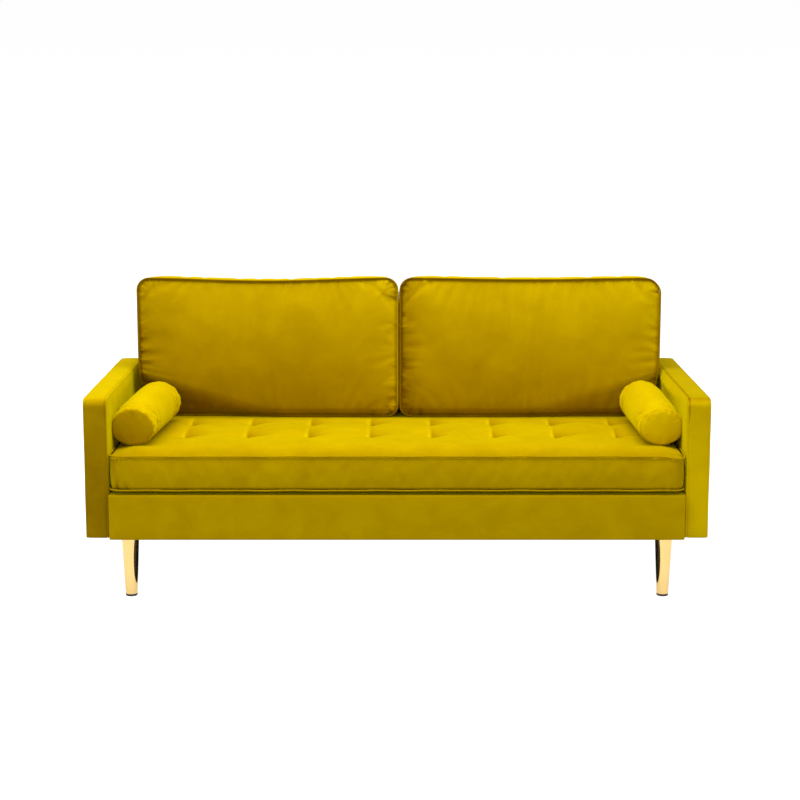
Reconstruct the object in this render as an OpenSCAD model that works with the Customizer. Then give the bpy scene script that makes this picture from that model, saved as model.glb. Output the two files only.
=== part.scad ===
// Upholstered two-seat sofa with a loose seat cushion, two loose back cushions and two bolsters.
// X runs along the sofa, -Y is the front and +Z is up. The origin is on the floor, under the middle.

/* [Overall] */
// Width over both arms
overall_w = 1775; // [1500:5:2200]
// Depth from the base's front to the back's rear face
overall_d = 770; // [720:5:950]
// Height of the arms' top above the floor
arm_top_z = 584; // [540:2:700]
// Height of the back frame's top above the floor
back_top_z = 770; // [700:5:900]
// Height of the legs with their glides
leg_h = 180; // [120:5:220]

/* [Base] */
// Height of the upholstered base
base_h = 132; // [110:1:170]
// How far the base stands in front of the arms
base_proud = 22; // [0:1:40]
// Thickness of the wooden rails
rail_t = 25; // [18:1:32]
// Height of the middle rail under the seat
center_rail_h = 45; // [30:1:50]
// Thickness of the foam on the front rail
front_pad_t = 12; // [5:1:20]
// Thickness of the foam on the seat deck
deck_pad_t = 10; // [6:1:16]
// Side of the square corner blocks
block_w = 95; // [85:1:120]
// Height of the corner blocks
block_h = 60; // [40:1:80]
// Width of the cover that is turned under the base
cover_turn = 20; // [10:1:22]
// Thickness of the dust cover
dust_t = 1; // [1:0.1:2]

/* [Arms and back] */
// Thickness of an arm over its cover
arm_t = 68; // [60:1:120]
// Radius of an arm's front and rear top corners
arm_corner_r = 24; // [5:1:40]
// Thickness of the wooden pieces inside an arm
arm_frame_t = 30; // [20:1:34]
// Width of an arm's posts and top rail
arm_rail_w = 45; // [30:1:60]
// Height of an arm's bottom rail
arm_bottom_rail_h = 75; // [60:1:100]
// Foam over an arm's top, front and rear
arm_pad_edge = 15; // [5:1:20]
// Thickness of the back over its cover
back_t = 82; // [70:1:110]
// Width of the back's stiles and rails
back_rail_w = 60; // [45:1:75]
// Thickness of the back's webbing
webbing_t = 1.5; // [1:0.1:3]
// Width of one webbing strap
webbing_w = 60; // [40:1:80]
// Number of webbing straps
webbing_count = 3; // [2:1:3]
// Thickness of the upholstery fabric
fabric_t = 2.5; // [1.5:0.1:3]

/* [Springs] */
// Number of springs under the seat
spring_count = 8; // [4:2:8]
// Diameter of the spring wire
spring_wire_d = 4; // [3:0.1:4.5]
// Half width of a spring's wave
spring_wave = 20; // [12:1:25]
// Number of waves in a spring
spring_waves = 10; // [6:1:12]

/* [Legs] */
// Diameter of a leg at its top
leg_top_d = 51; // [40:1:60]
// Diameter of a leg at its foot
leg_foot_d = 34; // [26:1:40]
// Wall of the hollow metal leg
leg_wall = 2; // [1.5:0.1:3]
// Height of the glide under a leg
glide_h = 6; // [4:1:10]
// Side of the square leg plates
plate_w = 60; // [52:1:66]
// How far a leg plate reaches under the rails beside it
plate_under_rail = 6; // [0:1:8]
// Thickness of the leg plates
plate_t = 4; // [3:0.5:4]
// Diameter of the leg studs and the frame bolts
bolt_d = 8; // [6:1:10]

/* [Seat cushion] */
// Height of the seat cushion
seat_h = 120; // [90:1:160]
// Radius of the seat cushion's upright corners
seat_corner_r = 28; // [10:1:50]
// Radius of the seat cushion's long top and bottom edges
seat_edge_r = 12; // [6:1:30]
// Number of tufts along the seat
tuft_columns = 8; // [4:1:9]
// Number of tuft rows from front to rear
tuft_rows = 3; // [1:1:3]
// Distance between tufts
tuft_pitch = 182; // [120:1:186]
// Distance of the first tuft row from the cushion's front
tuft_front = 245; // [150:1:260]
// How far the tuft rows sit to the right of the middle
tuft_offset = 13; // [-20:1:20]

/* [Back cushions] */
// Thickness of a back cushion
back_cushion_t = 188; // [120:1:220]
// Height of the back cushions
back_cushion_h = 424; // [350:1:520]
// Gap between the two back cushions
back_cushion_gap = 1.5; // [1:0.5:20]
// Room left between the pair and the arms, both sides together
back_cushion_slack = 28; // [20:1:80]
// How far the pair sits to the right of the middle
back_cushion_offset = 6; // [-9:1:9]
// Radius of a back cushion's corners, seen from the front
back_corner_r = 34; // [15:1:60]
// Radius of a back cushion's edges, seen from the side
back_edge_r = 16; // [8:1:50]
// Diameter of the piping
piping_d = 5; // [4:0.5:5]
// How far the piping stands out of its seam
piping_proud = 2.2; // [2.2:0.1:3]

/* [Bolsters] */
// Length of a bolster
bolster_len = 400; // [300:1:480]
// Width of a bolster where it has settled
bolster_w = 122; // [90:1:150]
// Height of a bolster where it has settled
bolster_h = 108; // [80:1:140]
// Distance of a bolster's rear end in front of the back cushions
bolster_rear_gap = 5; // [1:1:60]
// How far the left bolster's rear end is turned away from the arm
bolster_left_turn = 5; // [0:0.5:6]
// How far the right bolster's rear end is turned away from the arm
bolster_right_turn = 2; // [0:0.5:6]

/* [Hidden] */

$fn = 48;
fabric_color = "#C9A400";
wood_color = "#C8A06A";
foam_color = "#E9E2C8";
steel_color = "#9A9DA0";
gold_color = "#D8B25A";
black_color = "#1E1E1E";

// Clearances
body_gap = 0.5;      // between loose cushions and what they rest on
side_gap = 1;        // between the base and the arms
back_side_gap = 6;   // between the back and the arms
fill_gap = 0.5;      // between a filling and its cover
nut_gap = 0.2;       // round a tee nut's barrel, a washer's hole, a glide's plug and a screw
hole_gap = 0.5;      // round a bolt where it passes a rail or a pad
cover_gap = 0.6;     // between the seat frame and the base's cover
cushion_side_gap = 0.8; // between the seat cushion and an arm
bolster_side_gap = 1; // between a bolster and an arm

// Main planes
front_y = -overall_d / 2;
rear_y = overall_d / 2;
arm_front_y = front_y + base_proud;
inner_x = overall_w / 2 - arm_t;
base_x = inner_x - side_gap;
base_bottom_z = leg_h - dust_t;
base_top_z = base_bottom_z + base_h;
deck_top_z = base_top_z - fabric_t;
rail_z = leg_h + plate_t;
spring_lift = 2;
spring_headroom = 8;
rail_top_z = deck_top_z - deck_pad_t - spring_headroom - spring_wire_d - spring_lift;

// Seat frame
rail_x = base_x - fabric_t - cover_gap;
front_rail_y = front_y + fabric_t + cover_gap + front_pad_t;
rear_rail_y = rear_y - fabric_t - cover_gap - rail_t;
block_x = rail_x - rail_t;
block_front_y = front_rail_y + rail_t;
block_chamfer = block_w / 2;

// Legs
leg_inset = plate_w / 2 - plate_under_rail;
leg_x = block_x - leg_inset;
leg_front_y = block_front_y + leg_inset;
leg_rear_y = rear_rail_y - leg_inset;
leg_points = [[-leg_x, leg_front_y], [leg_x, leg_front_y], [-leg_x, leg_rear_y], [leg_x, leg_rear_y]];
leg_cap_t = 8;
glide_plug_h = 12;
stud_drop = 20;
stud_rise = 30;
screw_d = 4;
screw_head_d = 8;
screw_head_h = 2;
screw_len = 18;
screw_spread = plate_w / 2 - 10;

// Arms
arm_mid_x = overall_w / 2 - arm_t / 2;
arm_bottom_z = base_bottom_z;
arm_cavity_front_y = arm_front_y + fabric_t + arm_pad_edge;
arm_cavity_rear_y = rear_y - fabric_t - arm_pad_edge;
arm_cavity_bottom_z = arm_bottom_z + fabric_t + 3;
arm_cavity_top_z = arm_top_z - fabric_t - arm_pad_edge;

// Back
back_x = inner_x - back_side_gap;
back_front_y = rear_y - back_t;
back_bottom_z = base_top_z + 1;
back_inside_x = back_x - fabric_t;
back_padding_y = back_front_y + fabric_t;
back_top_pad_t = 7;
back_frame_top_z = back_top_z - fabric_t - back_top_pad_t;
webbing_end_gap = 60;
stile_y = rear_rail_y - rail_t;
webbing_y = stile_y - webbing_t;
stile_bottom_z = rail_z + 4;
stile_block_gap = 6;
back_stile_x = block_x - block_w - stile_block_gap - back_rail_w / 2;

// Frame bolts
bolt_z = rail_z + 42;
bolt_head_d = 16;
bolt_head_h = 5;
washer_d = 20;
washer_t = 1.5;
tee_flange_d = 22;
tee_flange_t = 1.5;
tee_barrel_d = 10;
tee_barrel_h = 9;
arm_bolt_y = [arm_front_y + 150, rear_y - 200];
back_bolt_low_z = bolt_z - 15;
back_bolt_high_z = bolt_z + 25;
back_bolt_points = [
    [-back_stile_x, back_bolt_low_z], [-back_stile_x, back_bolt_high_z], [0, back_bolt_high_z],
    [back_stile_x, back_bolt_low_z], [back_stile_x, back_bolt_high_z]
];
arm_bolt_len = rail_t + fabric_t + side_gap + (arm_t + arm_frame_t) / 2;

// Springs
spring_z = rail_top_z + spring_wire_d / 2 + spring_lift;
spring_stile_gap = 6;
spring_end_x = back_stile_x - back_rail_w / 2 - spring_stile_gap - spring_wave - spring_wire_d / 2;
spring_pitch = 2 * spring_end_x / (spring_count - 1);
spring_front_y = front_rail_y + rail_t / 2;
spring_rear_y = rear_rail_y + rail_t / 2;
spring_sides = 6;
spring_steps = 6;
clip_w = 26;
clip_t = 1.5;

// Seat cushion
seat_x = inner_x - cushion_side_gap - piping_proud;
seat_front_y = front_y + 5;
seat_rear_y = back_front_y - body_gap - piping_proud;
seat_bottom_z = base_top_z + body_gap;
seat_top_z = seat_bottom_z + seat_h;
seat_piping_inset = 11;
tie_d = 3;
tie_knot_d = 8;
tie_knot_h = 1.2;

// Back cushions
pair_w = 2 * inner_x - back_cushion_slack;
back_cushion_w = (pair_w - back_cushion_gap) / 2 - 2 * piping_proud;
back_cushion_rear_y = back_front_y - body_gap;
back_cushion_front_y = back_cushion_rear_y - back_cushion_t;
back_cushion_bottom_z = seat_top_z + body_gap + piping_proud;
back_cushion_x = (back_cushion_w + back_cushion_gap) / 2 + piping_proud;

// Bolsters
bolster_z = seat_top_z + body_gap + bolster_h / 2;

// ---------- Shared shapes ----------

// A rectangle with round corners, centred
module round_rect(w, d, r) {
    square([w - 2 * r, d], center = true);
    square([w, d - 2 * r], center = true);
    for (sx = [-1, 1], sy = [-1, 1])
        translate([sx * (w / 2 - r), sy * (d / 2 - r)])
            circle(r);
}

// A box by its low and high corners
module box(low, high) {
    translate(low)
        cube(high - low);
}

// A pillow block centred on X and Y: round upright corners and round long edges
module pillow_block(w, d, h, corner_r, edge_r) {
    intersection() {
        linear_extrude(h)
            round_rect(w, d, corner_r);
        translate([w / 2, 0, h / 2])
            rotate([90, 0, -90])
                linear_extrude(w)
                    round_rect(d, h, edge_r);
    }
}

// A ring of piping round a w by d block with round corners, centred in the XY plane
module piping_ring(block_w, block_d, block_r) {
    inset = piping_d / 2 - piping_proud;
    w = block_w - 2 * inset;
    d = block_d - 2 * inset;
    r = block_r - inset;
    for (sy = [-1, 1])
        translate([-(w / 2 - r), sy * d / 2, 0])
            rotate([0, 90, 0])
                cylinder(d = piping_d, h = w - 2 * r, $fn = 16);
    for (sx = [-1, 1])
        translate([sx * w / 2, -(d / 2 - r), 0])
            rotate([-90, 0, 0])
                cylinder(d = piping_d, h = d - 2 * r, $fn = 16);
    corners = [[1, 1, 0], [-1, 1, 90], [-1, -1, 180], [1, -1, 270]];
    for (c = corners)
        translate([c[0] * (w / 2 - r), c[1] * (d / 2 - r), 0])
            rotate([0, 0, c[2]])
                rotate_extrude(angle = 90)
                    translate([r, 0])
                        circle(d = piping_d, $fn = 16);
}

// A round bar along X from x0 to x1
module bar_x(x0, x1, y, z, d) {
    translate([min(x0, x1), y, z])
        rotate([0, 90, 0])
            cylinder(d = d, h = abs(x1 - x0));
}

// A round bar along Y from y0 to y1
module bar_y(x, y0, y1, z, d) {
    translate([x, y0, z])
        rotate([-90, 0, 0])
            cylinder(d = d, h = y1 - y0);
}

// ---------- Seat frame ----------

// Holes for the bolts that hold an arm, on one side
module arm_bolt_holes(side, d) {
    for (y = arm_bolt_y)
        bar_x(side * (block_x - 5), side * arm_mid_x, y, bolt_z, d);
}

// Holes for the bolts that hold the back
module back_bolt_holes(d) {
    for (p = back_bolt_points)
        bar_y(p[0], stile_y - 5, rear_y - fabric_t + 1, p[1], d);
}

module seat_front_rail() {
    color(wood_color)
        box([-rail_x, front_rail_y, rail_z], [rail_x, front_rail_y + rail_t, rail_top_z]);
}

module seat_rear_rail() {
    color(wood_color)
        difference() {
            box([-rail_x, rear_rail_y, rail_z], [rail_x, rear_rail_y + rail_t, rail_top_z]);
            back_bolt_holes(tee_barrel_d);
            for (p = back_bolt_points)
                bar_y(p[0], rear_rail_y + rail_t - tee_flange_t, rear_rail_y + rail_t + 1, p[1],
                    tee_flange_d);
        }
}

module seat_side_rail(side) {
    low_x = side > 0 ? block_x : -rail_x;
    color(wood_color)
        difference() {
            box([low_x, block_front_y, rail_z], [low_x + rail_t, rear_rail_y, rail_top_z]);
            arm_bolt_holes(side, bolt_d + 2 * hole_gap);
        }
}

module seat_left_rail() {
    seat_side_rail(-1);
}

module seat_right_rail() {
    seat_side_rail(1);
}

module seat_center_rail() {
    color(wood_color)
        box([-rail_t / 2, block_front_y, rail_z], [rail_t / 2, stile_y, rail_z + center_rail_h]);
}

// One corner block, with its corner at the origin and its body towards +X and +Y
module corner_block() {
    linear_extrude(block_h)
        polygon([
            [0, 0],
            [block_w, 0],
            [block_w, block_w - block_chamfer],
            [block_w - block_chamfer, block_w],
            [0, block_w]
        ]);
}

module corner_blocks() {
    stud_hole_d = bolt_d + 3;
    color(wood_color)
        difference() {
            for (side = [0, 1], end = [0, 1])
                mirror([side, 0, 0])
                    translate([-block_x, end == 0 ? block_front_y : rear_rail_y, rail_z])
                        mirror([0, end, 0])
                            corner_block();
            for (p = leg_points)
                translate([p[0], p[1], rail_z - 1])
                    cylinder(d = stud_hole_d, h = stud_rise + 4);
        }
}

// Points of one ring of spring wire at fraction s along the spring
function spring_center(s) = [
    spring_wave * sin(360 * spring_waves * s),
    spring_front_y + (spring_rear_y - spring_front_y) * s,
    spring_z
];
function spring_heading(s) = atan2(
    spring_rear_y - spring_front_y,
    spring_wave * 2 * PI * spring_waves * cos(360 * spring_waves * s)
);
function spring_ring(s) = [
    for (k = [0 : spring_sides - 1])
        let (a = 360 * k / spring_sides, h = spring_heading(s), r = spring_wire_d / 2)
            spring_center(s) + [r * cos(a) * sin(h), -r * cos(a) * cos(h), r * sin(a)]
];

// One zigzag spring as a tube swept along its wave
module zigzag_spring() {
    rings = spring_waves * spring_steps;
    points = [for (i = [0 : rings]) each spring_ring(i / rings)];
    walls = [
        for (i = [0 : rings - 1], k = [0 : spring_sides - 1])
            let (n = (k + 1) % spring_sides, a = i * spring_sides, b = a + spring_sides)
                [a + k, a + n, b + n, b + k]
    ];
    first_end = [for (k = [spring_sides - 1 : -1 : 0]) k];
    last_end = [for (k = [0 : spring_sides - 1]) rings * spring_sides + k];
    polyhedron(points = points, faces = concat([first_end], walls, [last_end]));
}

function spring_x(i) = (i - (spring_count - 1) / 2) * spring_pitch;

module seat_springs() {
    color(steel_color)
        for (i = [0 : spring_count - 1])
            translate([spring_x(i), 0, 0])
                zigzag_spring();
}

// A strap clip that sits on a rail under a spring's end
module spring_clips() {
    color(steel_color)
        for (i = [0 : spring_count - 1], y = [spring_front_y, spring_rear_y])
            translate([spring_x(i) - clip_w / 2, y - rail_t / 3, rail_top_z])
                cube([clip_w, rail_t * 2 / 3, clip_t]);
}

// One sheet of foam over the springs and down the front rail
module base_padding() {
    pad_x = rail_x;
    pad_front_y = front_rail_y - front_pad_t;
    deck_rear_y = back_front_y - 4;
    color(foam_color)
        union() {
            box([-pad_x, pad_front_y, rail_z], [pad_x, front_rail_y, deck_top_z]);
            box([-pad_x, pad_front_y, deck_top_z - deck_pad_t], [pad_x, deck_rear_y, deck_top_z]);
        }
}

// The base's outer form, from its bottom plane up
module base_form(x, y0, y1, z0, z1, r) {
    translate([0, (y0 + y1) / 2, z0])
        linear_extrude(z1 - z0)
            round_rect(2 * x, y1 - y0, r);
}

module base_cover() {
    inside_r = 2;
    color(fabric_color)
        difference() {
            base_form(base_x, front_y, rear_y, base_bottom_z, base_top_z, inside_r + fabric_t);
            base_form(base_x - fabric_t, front_y + fabric_t, rear_y - fabric_t,
                leg_h, base_top_z - fabric_t, inside_r);
            base_form(base_x - fabric_t - cover_turn, front_y + fabric_t + cover_turn,
                rear_y - fabric_t - cover_turn, base_bottom_z - 1, leg_h + 1, inside_r);
            box([-rail_x, back_front_y - 2, base_top_z - fabric_t - 1],
                [rail_x, rear_rail_y + rail_t, base_top_z + 1]);
            for (side = [-1, 1])
                arm_bolt_holes(side, bolt_d + 2 * hole_gap);
        }
}

module dust_cover() {
    leg_hole_d = leg_top_d + 4;
    margin = fabric_t + cover_turn + fill_gap;
    color(black_color)
        difference() {
            box([-base_x + margin, front_y + margin, base_bottom_z],
                [base_x - margin, rear_y - margin, leg_h]);
            for (p = leg_points)
                translate([p[0], p[1], base_bottom_z - 1])
                    cylinder(d = leg_hole_d, h = dust_t + 2);
        }
}

// ---------- Legs ----------

// One hollow tapered leg with a solid top that takes the stud
module leg(i) {
    inner_top_z = leg_h - leg_cap_t;
    color(gold_color)
        translate([leg_points[i][0], leg_points[i][1], 0])
            difference() {
                translate([0, 0, glide_h])
                    cylinder(d1 = leg_foot_d, d2 = leg_top_d, h = leg_h - glide_h);
                translate([0, 0, glide_h + glide_plug_h])
                    cylinder(d1 = leg_foot_d - 2 * leg_wall, d2 = leg_top_d - 3 * leg_wall,
                        h = inner_top_z - glide_h - glide_plug_h);
                translate([0, 0, glide_h - 1])
                    cylinder(d = leg_foot_d - 2 * leg_wall, h = glide_plug_h + 1.5);
                cylinder(d = bolt_d, h = leg_h + 1);
            }
}

module leg_front_left() {
    leg(0);
}

module leg_front_right() {
    leg(1);
}

module leg_rear_left() {
    leg(2);
}

module leg_rear_right() {
    leg(3);
}

// One plastic glide with a plug that fits inside the foot of its leg
module glide(i) {
    color(black_color)
        translate([leg_points[i][0], leg_points[i][1], 0]) {
            cylinder(d1 = leg_foot_d - 2, d2 = leg_foot_d, h = 2);
            translate([0, 0, 2])
                cylinder(d = leg_foot_d, h = glide_h - 2);
            translate([0, 0, glide_h])
                cylinder(d = leg_foot_d - 2 * (leg_wall + nut_gap), h = glide_plug_h - 1);
        }
}

module glide_front_left() {
    glide(0);
}

module glide_front_right() {
    glide(1);
}

module glide_rear_left() {
    glide(2);
}

module glide_rear_right() {
    glide(3);
}

// Does something at each of a leg plate's four screw holes
module at_plate_screws() {
    for (p = leg_points, sx = [-1, 1], sy = [-1, 1])
        translate([p[0] + sx * screw_spread, p[1] + sy * screw_spread, leg_h])
            children();
}

module leg_plates() {
    color(steel_color)
        difference() {
            for (p = leg_points)
                translate([p[0] - plate_w / 2, p[1] - plate_w / 2, leg_h])
                    cube([plate_w, plate_w, plate_t]);
            for (p = leg_points)
                translate([p[0], p[1], leg_h - 1])
                    cylinder(d = bolt_d, h = plate_t + 2);
            at_plate_screws() {
                translate([0, 0, -1])
                    cylinder(d = screw_d + 2 * nut_gap, h = plate_t + 2);
                translate([0, 0, -0.01])
                    cylinder(d1 = screw_head_d + 2 * nut_gap, d2 = screw_d + 2 * nut_gap,
                        h = screw_head_h + 2 * nut_gap);
            }
        }
}

module leg_plate_screws() {
    color(steel_color)
        at_plate_screws() {
            translate([0, 0, nut_gap])
                cylinder(d1 = screw_head_d - 2 * nut_gap, d2 = screw_d, h = screw_head_h);
            translate([0, 0, nut_gap + screw_head_h])
                cylinder(d = screw_d, h = screw_len - screw_head_h);
        }
}

module leg_studs() {
    color(steel_color)
        for (p = leg_points)
            translate([p[0], p[1], leg_h - stud_drop])
                cylinder(d = bolt_d, h = stud_drop + stud_rise);
}

// ---------- Arms ----------

// An arm's side outline as a slab: y0 to y1, z0 to z1, thickness t about the arm's middle
module arm_slab(side, y0, y1, z0, z1, t, r) {
    translate([side * arm_mid_x - t / 2, 0, 0])
        rotate([90, 0, 90])
            linear_extrude(t)
                union() {
                    translate([(y0 + y1) / 2, (z0 + z1) / 2])
                        round_rect(y1 - y0, z1 - z0, r);
                    translate([y0, z0])
                        square([y1 - y0, (z1 - z0) / 2]);
                }
}

module arm_cover(side) {
    color(fabric_color)
        difference() {
            arm_slab(side, arm_front_y, rear_y, arm_bottom_z, arm_top_z, arm_t, arm_corner_r);
            arm_inside(side, 0);
            arm_bolt_holes(side, bolt_d + 2 * hole_gap);
        }
}

// The space inside an arm's cover, made smaller by gap
module arm_inside(side, gap) {
    f = fabric_t + gap;
    arm_slab(side, arm_front_y + f, rear_y - f, arm_bottom_z + f, arm_top_z - f,
        arm_t - 2 * f, arm_corner_r - fabric_t);
}

module arm_padding(side) {
    color(foam_color)
        difference() {
            arm_inside(side, 0.2);
            box([side * arm_mid_x - arm_frame_t / 2, arm_cavity_front_y, arm_cavity_bottom_z],
                [side * arm_mid_x + arm_frame_t / 2, arm_cavity_rear_y, arm_cavity_top_z]);
            arm_bolt_holes(side, bolt_d + 2 * hole_gap);
            for (y = arm_bolt_y)
                bar_x(side * arm_mid_x, side * (arm_mid_x + arm_frame_t / 2 + tee_flange_t + 1), y, bolt_z,
                    tee_flange_d + 1);
        }
}

// A straight piece of an arm's frame
module arm_piece(side, y0, y1, z0, z1) {
    color(wood_color)
        box([side * arm_mid_x - arm_frame_t / 2, y0, z0], [side * arm_mid_x + arm_frame_t / 2, y1, z1]);
}

module arm_front_post(side) {
    arm_piece(side, arm_cavity_front_y, arm_cavity_front_y + arm_rail_w,
        arm_cavity_bottom_z, arm_cavity_top_z);
}

module arm_rear_post(side) {
    arm_piece(side, arm_cavity_rear_y - arm_rail_w, arm_cavity_rear_y,
        arm_cavity_bottom_z, arm_cavity_top_z);
}

module arm_top_rail(side) {
    arm_piece(side, arm_cavity_front_y + arm_rail_w, arm_cavity_rear_y - arm_rail_w,
        arm_cavity_top_z - arm_rail_w, arm_cavity_top_z);
}

module arm_bottom_rail(side) {
    difference() {
        arm_piece(side, arm_cavity_front_y + arm_rail_w, arm_cavity_rear_y - arm_rail_w,
            arm_cavity_bottom_z, arm_cavity_bottom_z + arm_bottom_rail_h);
        for (y = arm_bolt_y)
            bar_x(side * (arm_mid_x - arm_frame_t), side * (arm_mid_x + arm_frame_t), y, bolt_z, tee_barrel_d);
    }
}

module arm_left_top_rail() {
    arm_top_rail(-1);
}

module arm_left_bottom_rail() {
    arm_bottom_rail(-1);
}

module arm_left_front_post() {
    arm_front_post(-1);
}

module arm_left_rear_post() {
    arm_rear_post(-1);
}

module arm_left_padding() {
    arm_padding(-1);
}

module arm_left_cover() {
    arm_cover(-1);
}

module arm_right_top_rail() {
    arm_top_rail(1);
}

module arm_right_bottom_rail() {
    arm_bottom_rail(1);
}

module arm_right_front_post() {
    arm_front_post(1);
}

module arm_right_rear_post() {
    arm_rear_post(1);
}

module arm_right_padding() {
    arm_padding(1);
}

module arm_right_cover() {
    arm_cover(1);
}

// ---------- Back ----------

// A rail along the back, from the height z0 up
module back_rail(z0) {
    end_x = back_inside_x - 1;
    color(wood_color)
        box([-end_x, rear_rail_y, z0], [end_x, rear_rail_y + rail_t, z0 + back_rail_w]);
}

module back_top_rail() {
    back_rail(back_frame_top_z - back_rail_w);
}

module back_bottom_rail() {
    back_rail(back_bottom_z + 4);
}

// An upright piece of the back's frame about x
module back_stile(x) {
    color(wood_color)
        difference() {
            box([x - back_rail_w / 2, stile_y, stile_bottom_z], [x + back_rail_w / 2, rear_rail_y, back_frame_top_z]);
            back_bolt_holes(bolt_d + 2 * hole_gap);
        }
}

module back_left_stile() {
    back_stile(-back_stile_x);
}

module back_right_stile() {
    back_stile(back_stile_x);
}

module back_center_stile() {
    back_stile(0);
}

module back_webbing() {
    end_x = back_stile_x + back_rail_w / 2;
    first_z = back_bottom_z + webbing_end_gap;
    last_z = back_frame_top_z - webbing_end_gap - webbing_w;
    color(black_color)
        for (i = [0 : webbing_count - 1])
            translate([-end_x, webbing_y, first_z + (last_z - first_z) * i / (webbing_count - 1)])
                cube([2 * end_x, webbing_t, webbing_w]);
}

module back_padding() {
    color(foam_color)
        union() {
            box([-back_inside_x, back_padding_y, back_bottom_z],
                [back_inside_x, webbing_y, back_top_z - fabric_t]);
            box([-back_inside_x, back_padding_y, back_frame_top_z],
                [back_inside_x, rear_y - fabric_t, back_top_z - fabric_t]);
        }
}

module back_cover() {
    color(fabric_color)
        difference() {
            box([-back_x, back_front_y, back_bottom_z], [back_x, rear_y, back_top_z]);
            box([-back_inside_x, back_padding_y, back_bottom_z - 1],
                [back_inside_x, rear_y - fabric_t, back_top_z - fabric_t]);
        }
}

// ---------- Bolts that hold the arms and the back ----------

// A bolt along +X with its head below x = 0 and its washer between them
module frame_bolt(len) {
    translate([-washer_t - bolt_head_h, 0, 0])
        rotate([0, 90, 0])
            cylinder(d = bolt_head_d, h = bolt_head_h, $fn = 6);
    translate([-washer_t, 0, 0])
        rotate([0, 90, 0])
            cylinder(d = bolt_d, h = len + washer_t);
}

module frame_washer() {
    translate([-washer_t, 0, 0])
        rotate([0, 90, 0])
            difference() {
                cylinder(d = washer_d, h = washer_t);
                translate([0, 0, -1])
                    cylinder(d = bolt_d + 2 * nut_gap, h = washer_t + 2);
            }
}

// A tee nut along +X: its barrel reaches back from x = 0 and its flange stands past it
module frame_tee_nut() {
    rotate([0, 90, 0])
        difference() {
            union() {
                translate([0, 0, -tee_barrel_h])
                    cylinder(d = tee_barrel_d - 2 * nut_gap, h = tee_barrel_h);
                cylinder(d = tee_flange_d - 2 * hole_gap, h = tee_flange_t);
            }
            translate([0, 0, -tee_barrel_h - 1])
                cylinder(d = bolt_d, h = tee_barrel_h + tee_flange_t + 2);
        }
}

// Puts a piece that lies along +X at each arm bolt, starting from the seat rail's inner face
module at_arm_bolts(x) {
    for (side = [0, 1], y = arm_bolt_y)
        mirror([side, 0, 0])
            translate([x, y, bolt_z])
                children();
}

// Puts a piece that lies along +X at each back bolt, turned to lie along +Y
module at_back_bolts(y) {
    for (p = back_bolt_points)
        translate([p[0], y, p[1]])
            rotate([0, 0, 90])
                children();
}

module arm_bolts() {
    color(steel_color)
        at_arm_bolts(block_x)
            frame_bolt(arm_bolt_len);
}

module back_bolts() {
    color(steel_color)
        at_back_bolts(stile_y)
            frame_bolt(2 * rail_t);
}

module frame_washers() {
    color(steel_color) {
        at_arm_bolts(block_x)
            frame_washer();
        at_back_bolts(stile_y)
            frame_washer();
    }
}

module frame_tee_nuts() {
    color(steel_color) {
        at_arm_bolts(arm_mid_x + arm_frame_t / 2)
            frame_tee_nut();
        at_back_bolts(rear_rail_y + rail_t - tee_flange_t)
            frame_tee_nut();
    }
}

// ---------- Seat cushion ----------

seat_w = 2 * seat_x;
seat_d = seat_rear_y - seat_front_y;
seat_mid_y = (seat_rear_y + seat_front_y) / 2;

module seat_form(shrink) {
    translate([0, seat_mid_y, seat_bottom_z + shrink])
        pillow_block(seat_w - 2 * shrink, seat_d - 2 * shrink, seat_h - 2 * shrink,
            seat_corner_r - shrink, seat_edge_r - shrink);
}

module seat_cushion_core() {
    color(foam_color)
        seat_form(fabric_t + fill_gap);
}

module seat_cushion_cover() {
    color(fabric_color)
        difference() {
            seat_form(0);
            seat_form(fabric_t);
        }
}

module seat_cushion_piping() {
    color(fabric_color)
        for (z = [seat_bottom_z + seat_piping_inset, seat_top_z - seat_piping_inset])
            translate([0, seat_mid_y, z])
                piping_ring(seat_w, seat_d, seat_corner_r);
}

// Twine through the cushion at every tuft, knotted at both faces
module seat_tuft_ties() {
    color(fabric_color)
        for (i = [0 : tuft_columns - 1], j = [0 : tuft_rows - 1])
            translate([
                tuft_offset + (i - (tuft_columns - 1) / 2) * tuft_pitch,
                seat_front_y + tuft_front + j * tuft_pitch,
                seat_bottom_z + fabric_t
            ]) {
                cylinder(d = tie_d, h = seat_h - 2 * fabric_t, $fn = 16);
                cylinder(d = tie_knot_d, h = tie_knot_h, $fn = 16);
                translate([0, 0, seat_h - 2 * fabric_t - tie_knot_h])
                    cylinder(d = tie_knot_d, h = tie_knot_h, $fn = 16);
            }
}

// ---------- Back cushions ----------

// A back cushion's outer form, made smaller by shrink
module back_form(side, shrink) {
    translate([
        back_cushion_offset + side * back_cushion_x,
        back_cushion_rear_y - shrink,
        back_cushion_bottom_z + back_cushion_h / 2
    ])
        rotate([90, 0, 0])
            pillow_block(back_cushion_w - 2 * shrink, back_cushion_h - 2 * shrink,
                back_cushion_t - 2 * shrink, back_corner_r - shrink, back_edge_r - shrink);
}

module back_cushion_core(side) {
    color(foam_color)
        back_form(side, fabric_t + fill_gap);
}

module back_cushion_cover(side) {
    color(fabric_color)
        difference() {
            back_form(side, 0);
            back_form(side, fabric_t);
        }
}

// Piping round the front seam and the rear seam
module back_cushion_piping(side) {
    color(fabric_color)
        for (y = [back_cushion_front_y + back_edge_r, back_cushion_rear_y - back_edge_r])
            translate([
                back_cushion_offset + side * back_cushion_x,
                y,
                back_cushion_bottom_z + back_cushion_h / 2
            ])
                rotate([90, 0, 0])
                    piping_ring(back_cushion_w, back_cushion_h, back_corner_r);
}

module back_cushion_left_core() {
    back_cushion_core(-1);
}

module back_cushion_left_cover() {
    back_cushion_cover(-1);
}

module back_cushion_left_piping() {
    back_cushion_piping(-1);
}

module back_cushion_right_core() {
    back_cushion_core(1);
}

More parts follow.
